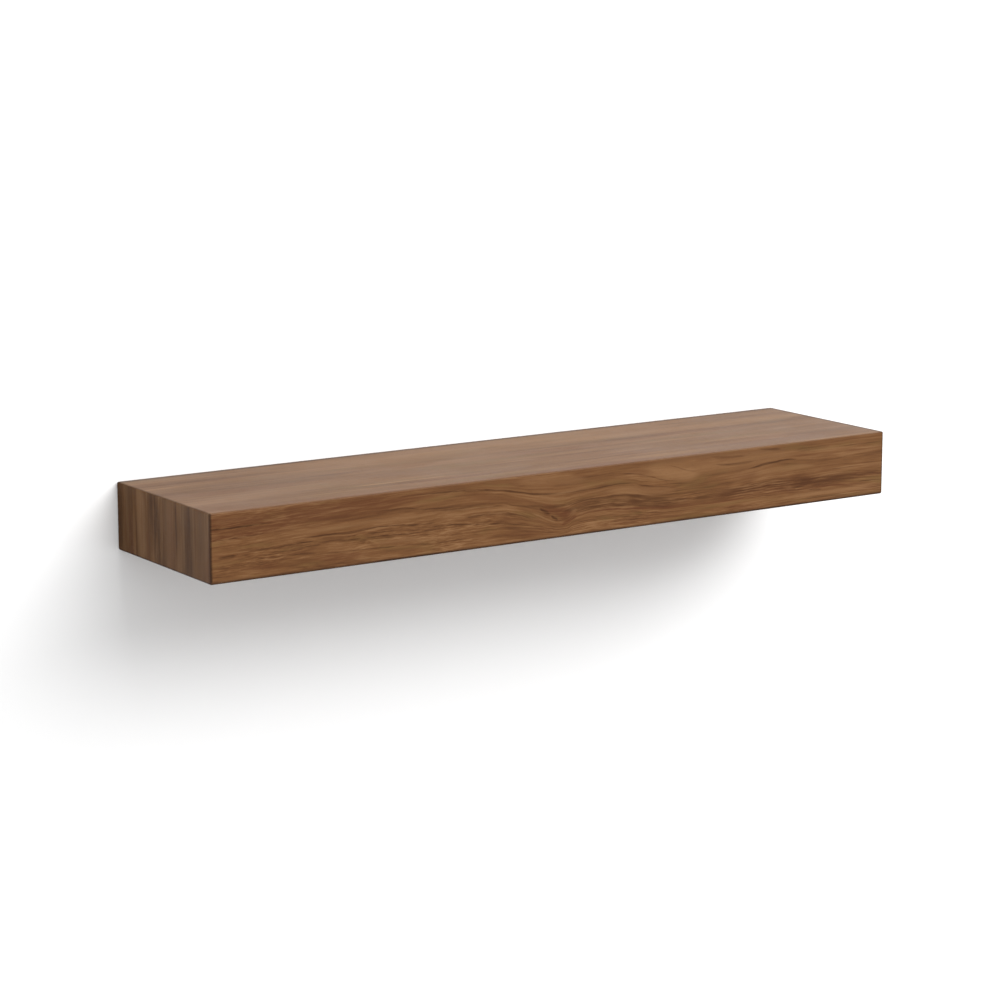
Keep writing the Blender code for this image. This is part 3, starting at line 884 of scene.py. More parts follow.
@dataclass(frozen=True)
class PowderCoat:
    """Matt black powder coat with its fine orange peel, rubbed through to steel at the arrises.

    Args:
        name: The material's name.
        centre: The middle of the coated piece.
        half: Half its size each way.
        colour: The coat's colour.
        steel: The colour of the rubbed steel.
        roughness: The coat's roughness.
        peel: How wide a dimple of the peel is.
        relief: How deep a dimple is.
        dust: The colour of the dust on it.
        rubbed: How far in from an arris it is rubbed through.
    """

    name: str
    centre: Place
    half: Place
    colour: Colour = (0.016, 0.016, 0.018)
    steel: Colour = (0.32, 0.32, 0.33)
    roughness: float = 0.5
    peel: float = 0.0007
    relief: float = 0.00005
    dust: Colour = (0.045, 0.043, 0.042)
    rubbed: float = 0.0008

    def material(self) -> Material:
        """The finish as a material.

        Returns:
            The material.
        """
        material, wires, shader = start_material(self.name)
        point = wires.place()
        places = [point[axis] for axis in AXES]
        peel = wires.clouds(places, [self.peel] * 3, 2.0, 0.4)
        dusty = wires.fit(wires.clouds(places, [self.peel * 60] * 3, 3.0), 0.45, 0.75, 0.0, 0.3)
        arris_mask = wires.effect(ARRIS, Point=point["Vector"], Centre=self.centre, Half=self.half,
                            Reach=self.rubbed)["Wear"]
        worn = wires.fit(arris_mask, 0.45, 0.8)
        coat = wires.mix(dusty, self.colour, self.dust)
        wires.feed_all(shader, Base_Color=wires.mix(worn, coat, self.steel), Metallic=worn,
                       Roughness=wires.fit(peel, 0.3, 0.7, self.roughness - 0.05, self.roughness + 0.08),
                       Normal=wires.bump(peel, self.relief), Specular_IOR_Level=0.45)
        return material


@dataclass(frozen=True)
class Nylon:
    """Moulded nylon with a faint grain and a cloudy tint.

    Args:
        name: The material's name.
        colour: The nylon's colour.
        tint: The colour that its clouds lean to.
        roughness: Its roughness.
        grain: How wide its grain is.
        cloud: How wide a cloud of its tint is.
        relief: How deep the grain is.
    """

    name: str
    colour: Colour
    tint: Colour
    roughness: float = 0.42
    grain: float = 0.0004
    cloud: float = 0.009
    relief: float = 0.00002

    def material(self) -> Material:
        """The finish as a material.

        Returns:
            The material.
        """
        material, wires, shader = start_material(self.name)
        point = wires.place()
        places = [point[axis] for axis in AXES]
        fine = wires.clouds(places, [self.grain] * 3)
        broad = wires.clouds(places, [self.cloud] * 3)
        wires.feed_all(shader, Base_Color=wires.mix(wires.fit(broad, 0.35, 0.7), self.colour, self.tint),
                       Roughness=wires.fit(fine, 0.3, 0.7, self.roughness - 0.05, self.roughness + 0.08),
                       Normal=wires.bump(fine, self.relief))
        return material


@dataclass(frozen=True)
class ThinPly:
    """Thin plywood strip, its faces and sawn edges unfinished.

    Args:
        name: The material's name.
        pale: The light wood of its plies.
        dark: The dark wood of its plies.
        mark: How wide a saw mark is.
        relief: How deep a saw mark is.
    """

    name: str
    pale: Colour = (0.62, 0.46, 0.29)
    dark: Colour = (0.44, 0.29, 0.16)
    mark: float = 0.0004
    relief: float = 0.00004

    def material(self) -> Material:
        """The finish as a material.

        Returns:
            The material.
        """
        material, wires, shader = start_material(self.name)
        point = wires.place()
        marks = wires.effect(TOOL_MARKS, Along=point["X"], Across=point["Y"], Other=point["Z"],
                             Size=self.mark)
        wires.feed_all(shader,
                       Base_Color=wires.mix(wires.fit(marks["Lines"], 0.3, 0.7), self.pale, self.dark),
                       Roughness=wires.fit(marks["Cloud"], 0.3, 0.7, 0.6, 0.72),
                       Normal=wires.bump(marks["Lines"], self.relief))
        return material


@dataclass(frozen=True)
class GlueLine:
    """Dried wood glue, darkened by sanding dust, in a mitre.

    Args:
        name: The material's name.
        colour: The glue's colour.
        dust: The dust's colour.
        bead: How wide a bead of glue is.
        relief: How far a bead stands out.
    """

    name: str
    colour: Colour = (0.030, 0.014, 0.007)
    dust: Colour = (0.075, 0.034, 0.015)
    bead: float = 0.006
    relief: float = 0.00005

    def material(self) -> Material:
        """The finish as a material.

        Returns:
            The material.
        """
        material, wires, shader = start_material(self.name)
        point = wires.place()
        beads = wires.clouds([point[axis] for axis in AXES], [self.bead] * 3, 4.0)
        wires.feed_all(shader, Base_Color=wires.mix(wires.fit(beads, 0.4, 0.65), self.colour, self.dust),
                       Roughness=wires.fit(beads, 0.3, 0.7, 0.45, 0.65),
                       Normal=wires.bump(beads, self.relief))
        return material


def lines(tone: Tone, *drawn: tuple[float | Share, ...], softness: float = 0.85) -> tuple[GrainLine, ...]:
    """Drawn lines of one tone, each given by its half width, its strength and the points of its path."""
    return tuple(GrainLine(tone, width, strength, tuple(path), softness) for width, strength, *path in drawn)


# The front panel's figure, from left to right, as shares of half its length and half its height
LEFT_OF_FRONT = (*lines(
    Tone.DARK,
    (0.032, 1.3, (-1.16, 0.543), (-1.0, 0.543), (-0.888, 0.535), (-0.8, 0.59)),
    (0.03, 0.45, (-1.03, 0.22), (-0.93, 0.23), (-0.87, 0.26), (-0.83, 0.34)),
    (0.022, 0.45, (-0.814, 0.244), (-0.77, 0.29), (-0.741, 0.312), (-0.69, 0.3)),
    (0.04, 0.5, (-0.652, 0.533), (-0.562, 0.488), (-0.481, 0.467), (-0.444, 0.399), (-0.37, 0.333),
     (-0.3, 0.3)),
    (0.045, 0.55, (-0.84, -0.02), (-0.776, 0.0), (-0.685, -0.01), (-0.645, -0.03), (-0.599, 0.0),
     (-0.556, 0.025), (-0.501, 0.01), (-0.451, -0.05), (-0.407, -0.06), (-0.33, -0.03)),
    (0.026, 0.6, (-0.785, -0.131), (-0.76, -0.13), (-0.72, -0.135)),
    (0.026, 0.6, (-0.6, -0.131), (-0.55, -0.128), (-0.49, -0.135)),
    (0.034, 0.6, (-0.77, -0.262), (-0.74, -0.262), (-0.7, -0.27)),
    (0.024, 0.55, (-0.67, -0.24), (-0.63, -0.235), (-0.59, -0.25)),
    (0.036, 0.6, (-0.6, -0.245), (-0.53, -0.25), (-0.48, -0.27), (-0.41, -0.28)),
    (0.022, 0.5, (-0.645, -0.131), (-0.63, -0.13), (-0.61, -0.13)),
    (0.065, 0.65, (-0.99, -0.27), (-0.96, -0.265), (-0.925, -0.25)),
    (0.03, 0.45, (-0.92, -0.2), (-0.87, -0.19), (-0.79, -0.16), (-0.71, -0.12)),
    (0.024, 0.5, (-0.888, -0.459), (-0.81, -0.45), (-0.72, -0.47)),
    (0.024, 0.6, (-0.76, -0.53), (-0.66, -0.54), (-0.599, -0.551), (-0.54, -0.58), (-0.44, -0.64)),
    (0.034, 0.45, (-0.8, -0.84), (-0.77, -0.835), (-0.74, -0.84)),
    (0.03, 0.45, (-0.7, -0.84), (-0.66, -0.85), (-0.62, -0.84), (-0.54, -0.855)),
), *lines(
    Tone.RED,
    (0.12, 0.65, (-1.2, 0.24), (-1.03, 0.26), (-0.93, 0.28), (-0.87, 0.312), (-0.833, 0.378),
     (-0.792, 0.467), (-0.62, 0.52)),
    (0.16, 0.4, (-0.97, -0.72), (-0.8, -0.66), (-0.68, -0.68), (-0.5, -0.8)),
    (0.2, 0.35, (-0.7, 0.8), (-0.62, 0.78), (-0.52, 0.82)),
    (0.5, 0.62, (-1.6, 0.62), (-1.0, 0.64), (-0.7, 0.68), (-0.25, 0.78)),
), *lines(
    Tone.PALE,
    (0.1, 0.45, (-0.86, 0.1), (-0.7, 0.16), (-0.52, 0.2), (-0.36, 0.14)),
    (0.11, 0.5, (-1.02, 0.72), (-0.93, 0.74), (-0.84, 0.7)),
    (0.03, 0.55, (-0.66, -0.84), (-0.6, -0.83), (-0.52, -0.86), (-0.46, -0.85)),
    (0.026, 0.5, (-0.74, -0.06), (-0.7, -0.04), (-0.64, -0.08), (-0.58, -0.06)),
    (0.028, 0.5, (-0.62, -0.32), (-0.54, -0.34), (-0.46, -0.4), (-0.4, -0.38)),
    (0.026, 0.5, (-1.0, -0.18), (-0.95, -0.17), (-0.88, -0.18)),
    (0.07, 0.35, (-0.62, -0.42), (-0.5, -0.45), (-0.4, -0.5), (-0.3, -0.55)),
))
MIDDLE_OF_FRONT = (*lines(
    Tone.DARK,
    (0.046, 0.62, (-0.62, 0.82), (-0.333, 0.777), (-0.28, 0.735), (-0.223, 0.667), (-0.149, 0.499),
     (-0.092, 0.378), (-0.026, 0.333), (0.074, 0.354), (0.133, 0.385), (0.24, 0.36), (0.34, 0.3)),
    (0.024, 0.4, (0.14, 0.38), (0.219, 0.236), (0.295, 0.105), (0.34, 0.06)),
    (0.08, 0.38, (-0.45, 0.31), (-0.333, 0.262), (-0.25, 0.223), (-0.15, 0.1)),
    (0.09, 0.42, (-0.36, -0.02), (-0.223, -0.03), (-0.177, -0.105), (-0.126, -0.26), (-0.096, -0.378),
     (-0.06, -0.56)),
    (0.038, 0.6, (-0.5, -0.15), (-0.36, -0.185), (-0.267, -0.278), (-0.186, -0.399), (-0.1, -0.54),
     (-0.06, -0.6)),
    (0.065, 0.52, (-0.3, 0.19), (-0.19, 0.15), (-0.14, 0.08), (-0.096, 0.01), (-0.052, -0.055),
     (-0.007, -0.03), (0.056, 0.035), (0.107, 0.022), (0.13, 0.06), (0.185, -0.01), (0.244, -0.07),
     (0.36, -0.16), (0.48, -0.2)),
    (0.075, 0.8, (-0.102, 0.02), (-0.088, -0.1), (-0.074, -0.19), (-0.06, -0.28)),
    (0.07, 0.95, (-0.066, -0.29), (-0.052, -0.39), (-0.038, -0.47)),
    (0.028, 0.45, (0.09, 0.75), (0.15, 0.69), (0.185, 0.64), (0.244, 0.47), (0.273, 0.36), (0.36, 0.2)),
    (0.024, 0.4, (0.28, 0.82), (0.315, 0.7), (0.36, 0.52), (0.4, 0.46)),
    (0.026, 0.4, (0.16, 0.3), (0.22, 0.24), (0.3, 0.2), (0.4, 0.1)),
), *lines(
    Tone.DARK,
    (0.21, 0.42, (-0.085, -0.06), (-0.05, -0.18), (0.0, -0.2), (0.074, -0.15), (0.148, -0.16),
     (0.244, -0.278), (0.33, -0.36), (0.42, -0.34)),
    softness=0.45,
), *lines(
    Tone.RED,
    (0.05, 0.85, (-0.08, -0.54), (-0.01, -0.42), (0.03, -0.37), (0.074, -0.335), (0.148, -0.378),
     (0.244, -0.467), (0.33, -0.533), (0.45, -0.551), (0.65, -0.54)),
    (0.3, 0.8, (-0.11, -0.02), (-0.06, -0.16), (-0.015, -0.26), (0.02, -0.3)),
    (0.09, 0.95, (-0.04, -0.64), (-0.016, -0.56), (0.0, -0.47), (0.024, -0.38)),
), *lines(
    Tone.PALE,
    (0.04, 0.55, (-0.38, 0.09), (-0.27, 0.105), (-0.2, 0.06), (-0.14, -0.05)),
    (0.13, 0.55, (-0.022, -0.34), (0.0, -0.26), (0.022, -0.22)),
    (0.05, 0.45, (-0.13, -0.1), (-0.1, -0.24), (-0.07, -0.42), (-0.03, -0.62)),
    (0.3, 0.55, (0.2, 0.8), (0.27, 0.6), (0.33, 0.45), (0.42, 0.36)),
    (0.16, 0.35, (0.06, 0.16), (0.14, 0.2), (0.22, 0.1), (0.36, -0.04)),
    (0.24, 0.3, (-0.2, 0.85), (0.0, 0.7), (0.08, 0.62)),
))
RIGHT_OF_FRONT = (*lines(
    Tone.DARK,
    (0.055, 0.42, (0.42, 0.68), (0.475, 0.566), (0.503, 0.543), (0.59, 0.6)),
    (0.06, 0.36, (0.41, 0.92), (0.475, 0.8), (0.56, 0.76)),
    (0.045, 0.75, (0.525, 0.32), (0.57, 0.378), (0.6, 0.433), (0.637, 0.457), (0.67, 0.486), (0.704, 0.457),
     (0.74, 0.42)),
    (0.11, 0.4, (0.68, 0.74), (0.759, 0.74), (0.84, 0.77)),
    (0.07, 0.45, (0.56, 0.98), (0.61, 0.9), (0.67, 0.82)),
    (0.028, 0.5, (0.82, 0.72), (0.87, 0.69), (0.93, 0.7), (1.02, 0.66)),
    (0.024, 0.42, (0.78, 0.345), (0.82, 0.335), (0.9, 0.36), (1.02, 0.34)),
    (0.028, 0.55, (0.5, -0.3), (0.54, -0.31), (0.59, -0.28)),
    (0.03, 0.55, (0.62, -0.27), (0.66, -0.275), (0.7, -0.26)),
    (0.034, 0.3, (0.69, -0.23), (0.72, -0.225), (0.75, -0.22)),
    (0.04, 0.5, (0.62, -0.42), (0.68, -0.43), (0.76, -0.4)),
    (0.024, 0.45, (0.33, -0.2), (0.38, -0.21), (0.46, -0.2), (0.52, -0.22)),
    (0.03, 0.45, (0.36, -0.07), (0.45, -0.06), (0.52, -0.03), (0.6, -0.02)),
    (0.026, 0.4, (0.8, 0.02), (0.85, 0.0), (0.92, 0.02)),
    (0.045, 0.45, (0.74, -0.57), (0.77, -0.58), (0.8, -0.6)),
    (0.03, 0.5, (0.9, -0.5), (0.95, -0.51), (1.02, -0.52)),
    (0.05, 0.4, (0.7, -0.84), (0.8, -0.82), (0.9, -0.86)),
), *lines(
    Tone.DARK,
    (0.21, 0.42, (0.26, -0.4), (0.48, -0.34), (0.6, -0.24), (0.7, -0.26), (0.82, -0.28), (1.06, -0.26)),
    softness=0.7,
), *lines(
    Tone.RED,
    (0.23, 0.52, (0.3, -0.44), (0.62, -0.32), (0.74, -0.3), (0.84, -0.3), (1.08, -0.3)),
    softness=0.7,
), *lines(
    Tone.RED,
    (0.034, 0.85, (0.7, -0.61), (0.735, -0.55), (0.759, -0.525), (0.815, -0.512), (0.87, -0.545),
     (0.91, -0.59), (0.955, -0.66)),
), *lines(
    Tone.PALE,
    (0.09, 0.62, (0.6, -0.75), (0.8, -0.7), (1.03, -0.72)),
    (0.12, 0.4, (0.54, 0.12), (0.62, 0.2), (0.7, 0.22), (0.8, 0.16)),
    (0.05, 0.4, (0.8, 0.5), (0.9, 0.47), (1.02, 0.46)),
    (0.45, 0.35, (0.1, 0.74), (0.35, 0.7), (0.6, 0.66), (0.8, 0.6)),
))
FRONT_FLOW = (
    (((-1.0, -0.1), (-0.87, -0.06), (-0.776, -0.02), (-0.685, -0.015), (-0.645, -0.03), (-0.599, -0.01),
      (-0.556, 0.0), (-0.501, -0.01), (-0.451, -0.04), (-0.407, -0.04), (-0.337, -0.02), (-0.223, -0.03),
      (-0.177, -0.105), (-0.126, -0.26), (-0.096, -0.378), (-0.06, -0.52), (-0.022, -0.59), (0.0, -0.46),
      (0.03, -0.38), (0.074, -0.335), (0.148, -0.378), (0.244, -0.467), (0.33, -0.533), (0.45, -0.551),
      (0.6, -0.54), (0.726, -0.56), (0.815, -0.512), (0.937, -0.6), (1.0, -0.62)), -0.25),
    (((-1.0, 0.52), (-0.87, 0.55), (-0.74, 0.6), (-0.56, 0.68), (-0.44, 0.76), (-0.333, 0.777),
      (-0.223, 0.667), (-0.149, 0.499), (-0.092, 0.378), (-0.026, 0.333), (0.074, 0.354), (0.133, 0.378),
      (0.219, 0.236), (0.295, 0.14), (0.38, 0.16), (0.48, 0.22), (0.57, 0.3), (0.67, 0.37), (0.78, 0.36),
      (1.0, 0.354)), 0.4),
)

# The top panel's streaks: across the grain, 1 is at the wall and -1 at the front
TOP_LINES = (*lines(
    Tone.DARK,
    (0.055, 0.6, (-1.1, 0.565), (-0.8, 0.57), (-0.68, 0.57), (-0.52, 0.575)),
    (0.23, 0.42, (-1.4, 0.09), (-0.8, 0.11), (-0.28, 0.12)),
    (0.02, 0.3, (-0.9, -0.05), (-0.83, -0.04), (-0.76, -0.05)),
    (0.018, 0.35, (-0.93, -0.5), (-0.8, -0.505), (-0.62, -0.51), (-0.5, -0.52)),
    (0.02, 0.4, (-0.66, -0.65), (-0.55, -0.655), (-0.44, -0.65), (-0.3, -0.66)),
    (0.022, 0.35, (-0.38, -0.5), (-0.3, -0.52), (-0.24, -0.57), (-0.16, -0.58)),
    (0.06, 0.25, (-0.16, 0.2), (-0.05, 0.19), (0.2, 0.22), (0.55, 0.2)),
    (0.05, 0.4, (0.52, 0.75), (0.6, 0.72), (0.66, 0.7), (0.76, 0.7)),
    (0.026, 0.35, (-0.06, -0.29), (0.08, -0.27), (0.2, -0.26), (0.33, -0.27)),
    (0.03, 0.35, (-0.06, 0.56), (-0.01, 0.55), (0.05, 0.56)),
    (0.04, 0.45, (0.1, 0.24), (0.5, 0.22), (0.8, 0.2), (1.2, 0.21)),
    (0.2, 0.3, (0.7, -0.52), (0.84, -0.56), (1.03, -0.6)),
), *lines(
    Tone.RED,
    (0.26, 0.35, (0.25, -0.7), (0.6, -0.72), (1.3, -0.74)),
    (0.08, 0.6, (-1.3, -0.97), (-0.4, -0.98), (0.4, -0.98), (1.02, -0.97)),
), *lines(
    Tone.PALE,
    (0.07, 0.35, (-0.25, -0.15), (-0.1, -0.17), (0.3, -0.14), (0.7, -0.16)),
    (0.17, 0.5, (-0.1, 0.42), (0.15, 0.44), (0.6, 0.42), (1.3, 0.44)),
    (0.05, 0.3, (-0.62, 0.76), (-0.45, 0.77), (-0.2, 0.75)),
    # This wide pale band makes the top lighter towards the wall.
    (0.7, 0.45, (-0.85, 0.86), (-0.2, 0.84), (0.4, 0.86), (1.0, 0.9)),
    (0.03, 0.8, (-0.62, -0.57), (-0.45, -0.58), (-0.22, -0.6)),
))

# The ends' upright bands, first the left end's own: across the grain, 1 is at the wall, -1 at the front
LEFT_END_LINES = (*lines(
    Tone.DARK,
    # This wide dark band makes the left end darker at the wall.
    (0.16, 0.6, (-1.4, 0.98), (0.0, 0.98), (1.4, 0.97)),
), *lines(
    Tone.RED,
    (0.05, 0.6, (-1.4, 0.7), (-0.5, 0.7), (0.0, 0.705), (0.6, 0.71)),
))
END_LINES = (*lines(
    Tone.DARK,
    (0.03, 0.5, (-1.4, 0.69), (-0.5, 0.69), (0.0, 0.7), (0.4, 0.71)),
    (0.026, 0.5, (-1.4, 0.575), (-0.4, 0.575), (0.5, 0.58)),
    (0.02, 0.8, (-0.8, -0.3), (0.0, -0.295), (1.4, -0.285)),
), *lines(
    Tone.DARK,
    (0.17, 0.75, (-1.8, -0.01), (0.0, 0.13), (1.8, 0.29)),
    (0.13, 0.75, (-1.8, -0.56), (0.0, -0.57), (1.8, -0.59)),
    softness=1.0,
), *lines(
    Tone.RED,
    (0.05, 0.5, (-1.4, 0.34), (-0.5, 0.33), (0.2, 0.32)),
    (0.13, 0.35, (-1.4, -0.16), (0.0, -0.16), (1.4, -0.17)),
), *lines(
    Tone.RED,
    (0.06, 0.85, (-1.6, -1.01), (0.0, -1.01), (1.6, -1.01)),
    softness=0.6,
), *lines(
    Tone.PALE,
    (0.045, 0.35, (-1.4, 0.63), (-0.2, 0.63), (0.7, 0.64)),
    (0.13, 0.9, (-1.6, 0.43), (-0.4, 0.45), (1.6, 0.49)),
    (0.11, 0.6, (-1.6, -0.14), (0.0, -0.14), (1.6, -0.15)),
    (0.03, 0.4, (-1.2, -0.46), (0.0, -0.46), (0.8, -0.45)),
    (0.12, 0.22, (-1.4, -0.82), (0.0, -0.82), (1.4, -0.82)),
))

# What the figure, the colours and the painted sheen of both ends share
END_LOOKS = {"contrast": 1.2, "choppy": (0.1, 0.1), "scale": (1.5, 1.6), "lacquer": (0.22, 0.05),
             "deep": (0.060, 0.023, 0.006), "shade": (0.095, 0.040, 0.0125), "body": (0.122, 0.053, 0.0150),
             "light": (0.178, 0.091, 0.038), "red": (0.118, 0.044, 0.015), "olive": (0.100, 0.050, 0.018)}


def linked(name: str, mesh: Mesh) -> Piece:
    """An object at the origin that shows this mesh.

    Args:
        name: The object's name.
        mesh: Its mesh, already in place.

    Returns:
        The object.
    """
    piece = bpy.data.objects.new(name, mesh)
    bpy.context.scene.collection.objects.link(piece)
    return piece


def smoothed(mesh: Mesh) -> Mesh:
    """A mesh with its round faces made smooth.

    Args:
        mesh: The mesh, which is changed.

    Returns:
        The mesh.
    """
    mesh.shade_smooth()
    mesh.set_sharp_from_angle(angle=SMOOTH_UNDER)
    return mesh


def mesh_of(bm: bmesh.types.BMesh, name: str) -> Mesh:
    """A mesh of a bmesh, merged, its faces out and its round faces smooth.

    Args:
        bm: The bmesh, which is freed.
        name: The mesh's name.

    Returns:
        The mesh.
    """
    bmesh.ops.remove_doubles(bm, verts=bm.verts, dist=MERGE_DISTANCE)
    bmesh.ops.recalc_face_normals(bm, faces=bm.faces)
    mesh = bpy.data.meshes.new(name)
    bm.to_mesh(mesh)
    bm.free()
    return smoothed(mesh)


def turned(profile: Sequence[Share], steps: int) -> bmesh.types.BMesh:
    """A shape turned about +Z.

    Args:
        profile: Its radii and heights, from the start to the end of the axis.
        steps: How many sides it has.

    Returns:
        The bmesh.
    """
    bm = bmesh.new()
    points = [bm.verts.new((radius, 0, height)) for radius, height in profile]
    edges = [bm.edges.new(pair) for pair in zip(points, points[1:])]
    if profile[0][0] > 0:
        edges.append(bm.edges.new((points[-1], points[0])))
    bmesh.ops.spin(bm, geom=points + edges, cent=(0, 0, 0), axis=(0, 0, 1), angle=math.tau, steps=steps,
                   use_merge=True)
    return bm


def joined(mesh: Mesh, other: Mesh, operation: str) -> Mesh:
    """Two meshes made one by an exact Boolean.

    Args:
        mesh: The mesh that is kept.
        other: The mesh that is added or taken away, which is then removed.
        operation: The Boolean's operation.

    Returns:
        The new mesh.
    """
    piece, tool = linked("joining", mesh), linked("joining_tool", other)
    boolean = piece.modifiers.new("join", "BOOLEAN")
    boolean.operation = operation
    boolean.solver = "EXACT"
    boolean.object = tool
    bpy.context.view_layer.update()
    made = bpy.data.meshes.new_from_object(piece.evaluated_get(bpy.context.evaluated_depsgraph_get()))
    for used in (piece, tool):
        bpy.data.objects.remove(used)
    return made


def set_down(name: str, mesh: Mesh, base: Vector, direction: Vector) -> Piece:
    """A copy of a turned mesh, stood on its base with its axis along a direction.

    Args:
        name: The new object's name.
        mesh: The mesh, which stands on the origin along +Z.
        base: Where its base goes.
        direction: Where its axis points.

    Returns:
        The object, at the origin, with its place in its mesh.
    """
    copy = mesh.copy()
    copy.transform(Matrix.Translation(base) @ direction.to_track_quat("Z", "Y").to_matrix().to_4x4())
    return linked(name, copy)


@dataclass(frozen=True)
class Screw:
    """A screw with a real helical thread and a recess for its key.

    Args:
        head_radius: The head's radius, or the shank's where there is no head.
        head_height: How tall the countersunk head is.
        shank_radius: The plain shank's radius.
        core_radius: The radius at the thread's root.
        crest_radius: The radius at the thread's crest.
        pitch: How far one turn of the thread climbs.
        ridge_share: How much of the pitch the thread's ridge takes.
        thread_start: Where the thread starts, from the head.
        length: The whole length.
        point_length: How long the tapered point is.
        tip_radius: The radius at the point's end.
        drive: The recess's form.
        drive_width: The recess's width across its flats.
        drive_depth: The recess's depth.
        rim: How far the head's rim is bevelled.
        steps: How many sides its round shapes have.
    """

    head_radius: float
    head_height: float
    shank_radius: float
    core_radius: float
    crest_radius: float
    pitch: float
    ridge_share: float
    thread_start: float
    length: float
    point_length: float
    tip_radius: float
    drive: Drive
    drive_width: float
    drive_depth: float
    rim: float = 0.0003
    steps: int = 24

    def core(self) -> Mesh:
        """The head, shank and root, without thread or recess.

        Returns:
            The mesh.
        """
        point = self.length - self.point_length
        neck = self.thread_start + self.shank_radius - self.core_radius
        profile = [(0, 0), (self.head_radius - self.rim, 0), (self.head_radius, self.rim)]
        if self.head_height > 0:
            profile.append((self.shank_radius, self.head_height))
        profile += [(self.shank_radius, self.thread_start), (self.core_radius, neck),
                    (self.core_radius, point), (self.tip_radius, self.length), (0, self.length)]
        return mesh_of(turned(profile, self.steps), "screw_core")

    def root_at(self, height: float) -> float:
        """The root's radius at this height, along the shank and down the point."""
        into = max(0.0, height - (self.length - self.point_length)) / self.point_length
        return self.core_radius + (self.tip_radius - self.core_radius) * min(1.0, into)

    def thread(self) -> Mesh:
        """The thread's ridge, which rises out of the shank and runs out before the tip.

        Returns:
            The mesh.
        """
        ridge = self.pitch * self.ridge_share
        start = self.thread_start + self.shank_radius - self.core_radius
        turns = (self.length - ridge - start - self.pitch / 4) / self.pitch
        count = round(turns * self.steps)
        sunk = self.core_radius * 0.9
        bm = bmesh.new()
        corners = [bm.verts.new(place) for place in (
            (sunk, 0, start), (self.crest_radius, 0, start + ridge * 0.42),
            (self.crest_radius, 0, start + ridge * 0.58), (sunk, 0, start + ridge))]
        edges = [bm.edges.new(pair) for pair in zip(corners, corners[1:] + corners[:1])]
        bmesh.ops.spin(bm, geom=corners + edges, cent=(0, 0, 0), axis=(0, 0, 1),
                       dvec=(0, 0, turns * self.pitch / count), angle=math.tau * turns, steps=count,
                       use_merge=False)
        for vert in bm.verts:
            radius = math.hypot(vert.co.x, vert.co.y)
            risen = min(1.0, (vert.co.z - start) / self.pitch + 0.05)
            left = min(1.0, (self.length - vert.co.z) / self.point_length)
            root = self.root_at(vert.co.z)
            if radius > self.core_radius:
                wanted = root + (radius - self.core_radius) * min(risen, 0.35 + 0.65 * left)
            else:
                wanted = root * 0.9
            vert.co.x *= wanted / radius
            vert.co.y *= wanted / radius
        bmesh.ops.holes_fill(bm, edges=[edge for edge in bm.edges if edge.is_boundary], sides=0)
        return mesh_of(bm, "screw_thread")

    def recess(self) -> Mesh:
        """The key's shape, sunk into the head, with a drilled point at its floor.

        Returns:
            The mesh.
        """
        corner = self.drive_width / 2 / math.cos(math.pi / self.drive.value)
        past = self.rim * 4
        floor = self.drive_depth + corner / 3
        profile = [(0, -past), (corner, -past), (corner, self.drive_depth), (0, floor)]
        return mesh_of(turned(profile, self.drive.value), "screw_recess")

    def mesh(self) -> Mesh:
        """The whole screw, standing on its head along +Z."""
        threaded = joined(self.core(), self.thread(), "UNION")
        return smoothed(joined(threaded, self.recess(), "DIFFERENCE"))


@dataclass(frozen=True)
class WallPlug:
    """A slit nylon plug with barbs and two fins that stop it turning.

    Args:
        radius: Its radius over the barbs.
        bore: The radius of its bore.
        length: Its length.
        collar: How long its unslit collar is.
        barb: How far apart the barbs are.
        slit: How wide its slits are.
        fin: How far the fins stand out.
        barb_depth: How far the barbs stand out.
        fin_thickness: How thick the fins and the collar's rim are.
        steps: How many sides its round shapes have.
    """

    radius: float
    bore: float
    length: float
    collar: float
    barb: float = 0.0042
    slit: float = 0.001
    fin: float = 0.0009
    barb_depth: float = 0.0006
    fin_thickness: float = 0.001
    steps: int = 32

    def body(self) -> Mesh:
        """The barbed tube.

        Returns:
            The mesh.
        """
        root = self.radius - self.barb_depth
        profile = [(self.bore, 0), (self.radius, 0), (self.radius, self.fin_thickness),
                   (root, self.fin_thickness + self.barb_depth), (root, self.collar)]
        count = int((self.length - self.collar - self.barb) / self.barb)
        for index in range(count):
            start = self.collar + index * self.barb
            profile += [(self.radius, start + self.barb_depth), (root, start + self.barb - self.barb_depth)]
        tip = (self.bore + root) / 2
        profile += [(root, self.length - self.barb / 2), (tip, self.length), (self.bore, self.length)]
        return mesh_of(turned(profile, self.steps), "plug_body")

    def block(self, width: float, height: float, start: float, end: float) -> Mesh:
        """A square block about the plug's axis.

        Args:
            width: Its size along X.
            height: Its size along Y.
            start: Where it starts along the axis.
            end: Where it ends.

        Returns:
            The mesh.
        """
        bm = bmesh.new()
        bmesh.ops.create_cube(bm, size=1)
        bmesh.ops.scale(bm, vec=(width, height, end - start), verts=bm.verts)
        bmesh.ops.translate(bm, vec=(0, 0, (start + end) / 2), verts=bm.verts)
        return mesh_of(bm, "plug_block")

    def mesh(self) -> Mesh:
        """The whole plug, standing on its collar along +Z.

        Returns:
            The mesh.
        """
        across = 4 * self.radius
        fins = self.block(2 * (self.radius + self.fin), self.fin_thickness, self.fin_thickness,
                          self.collar * 1.6)
        within, end = self.radius - self.barb_depth * 1.5, self.collar * 2
        hole = mesh_of(turned([(0, 0), (within, 0), (within, end), (0, end)], self.steps), "plug_hole")
        made = joined(self.body(), joined(fins, hole, "DIFFERENCE"), "UNION")
        for width, height in ((self.slit, across), (across, self.slit)):
            slit = self.block(width, height, self.collar * 1.8, self.length + self.collar)
            made = joined(made, slit, "DIFFERENCE")
        return smoothed(made)


def middle_of(node: str) -> Vector:
    """The middle of a CAD node's box."""
    low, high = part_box(node)
    return (low + high) / 2


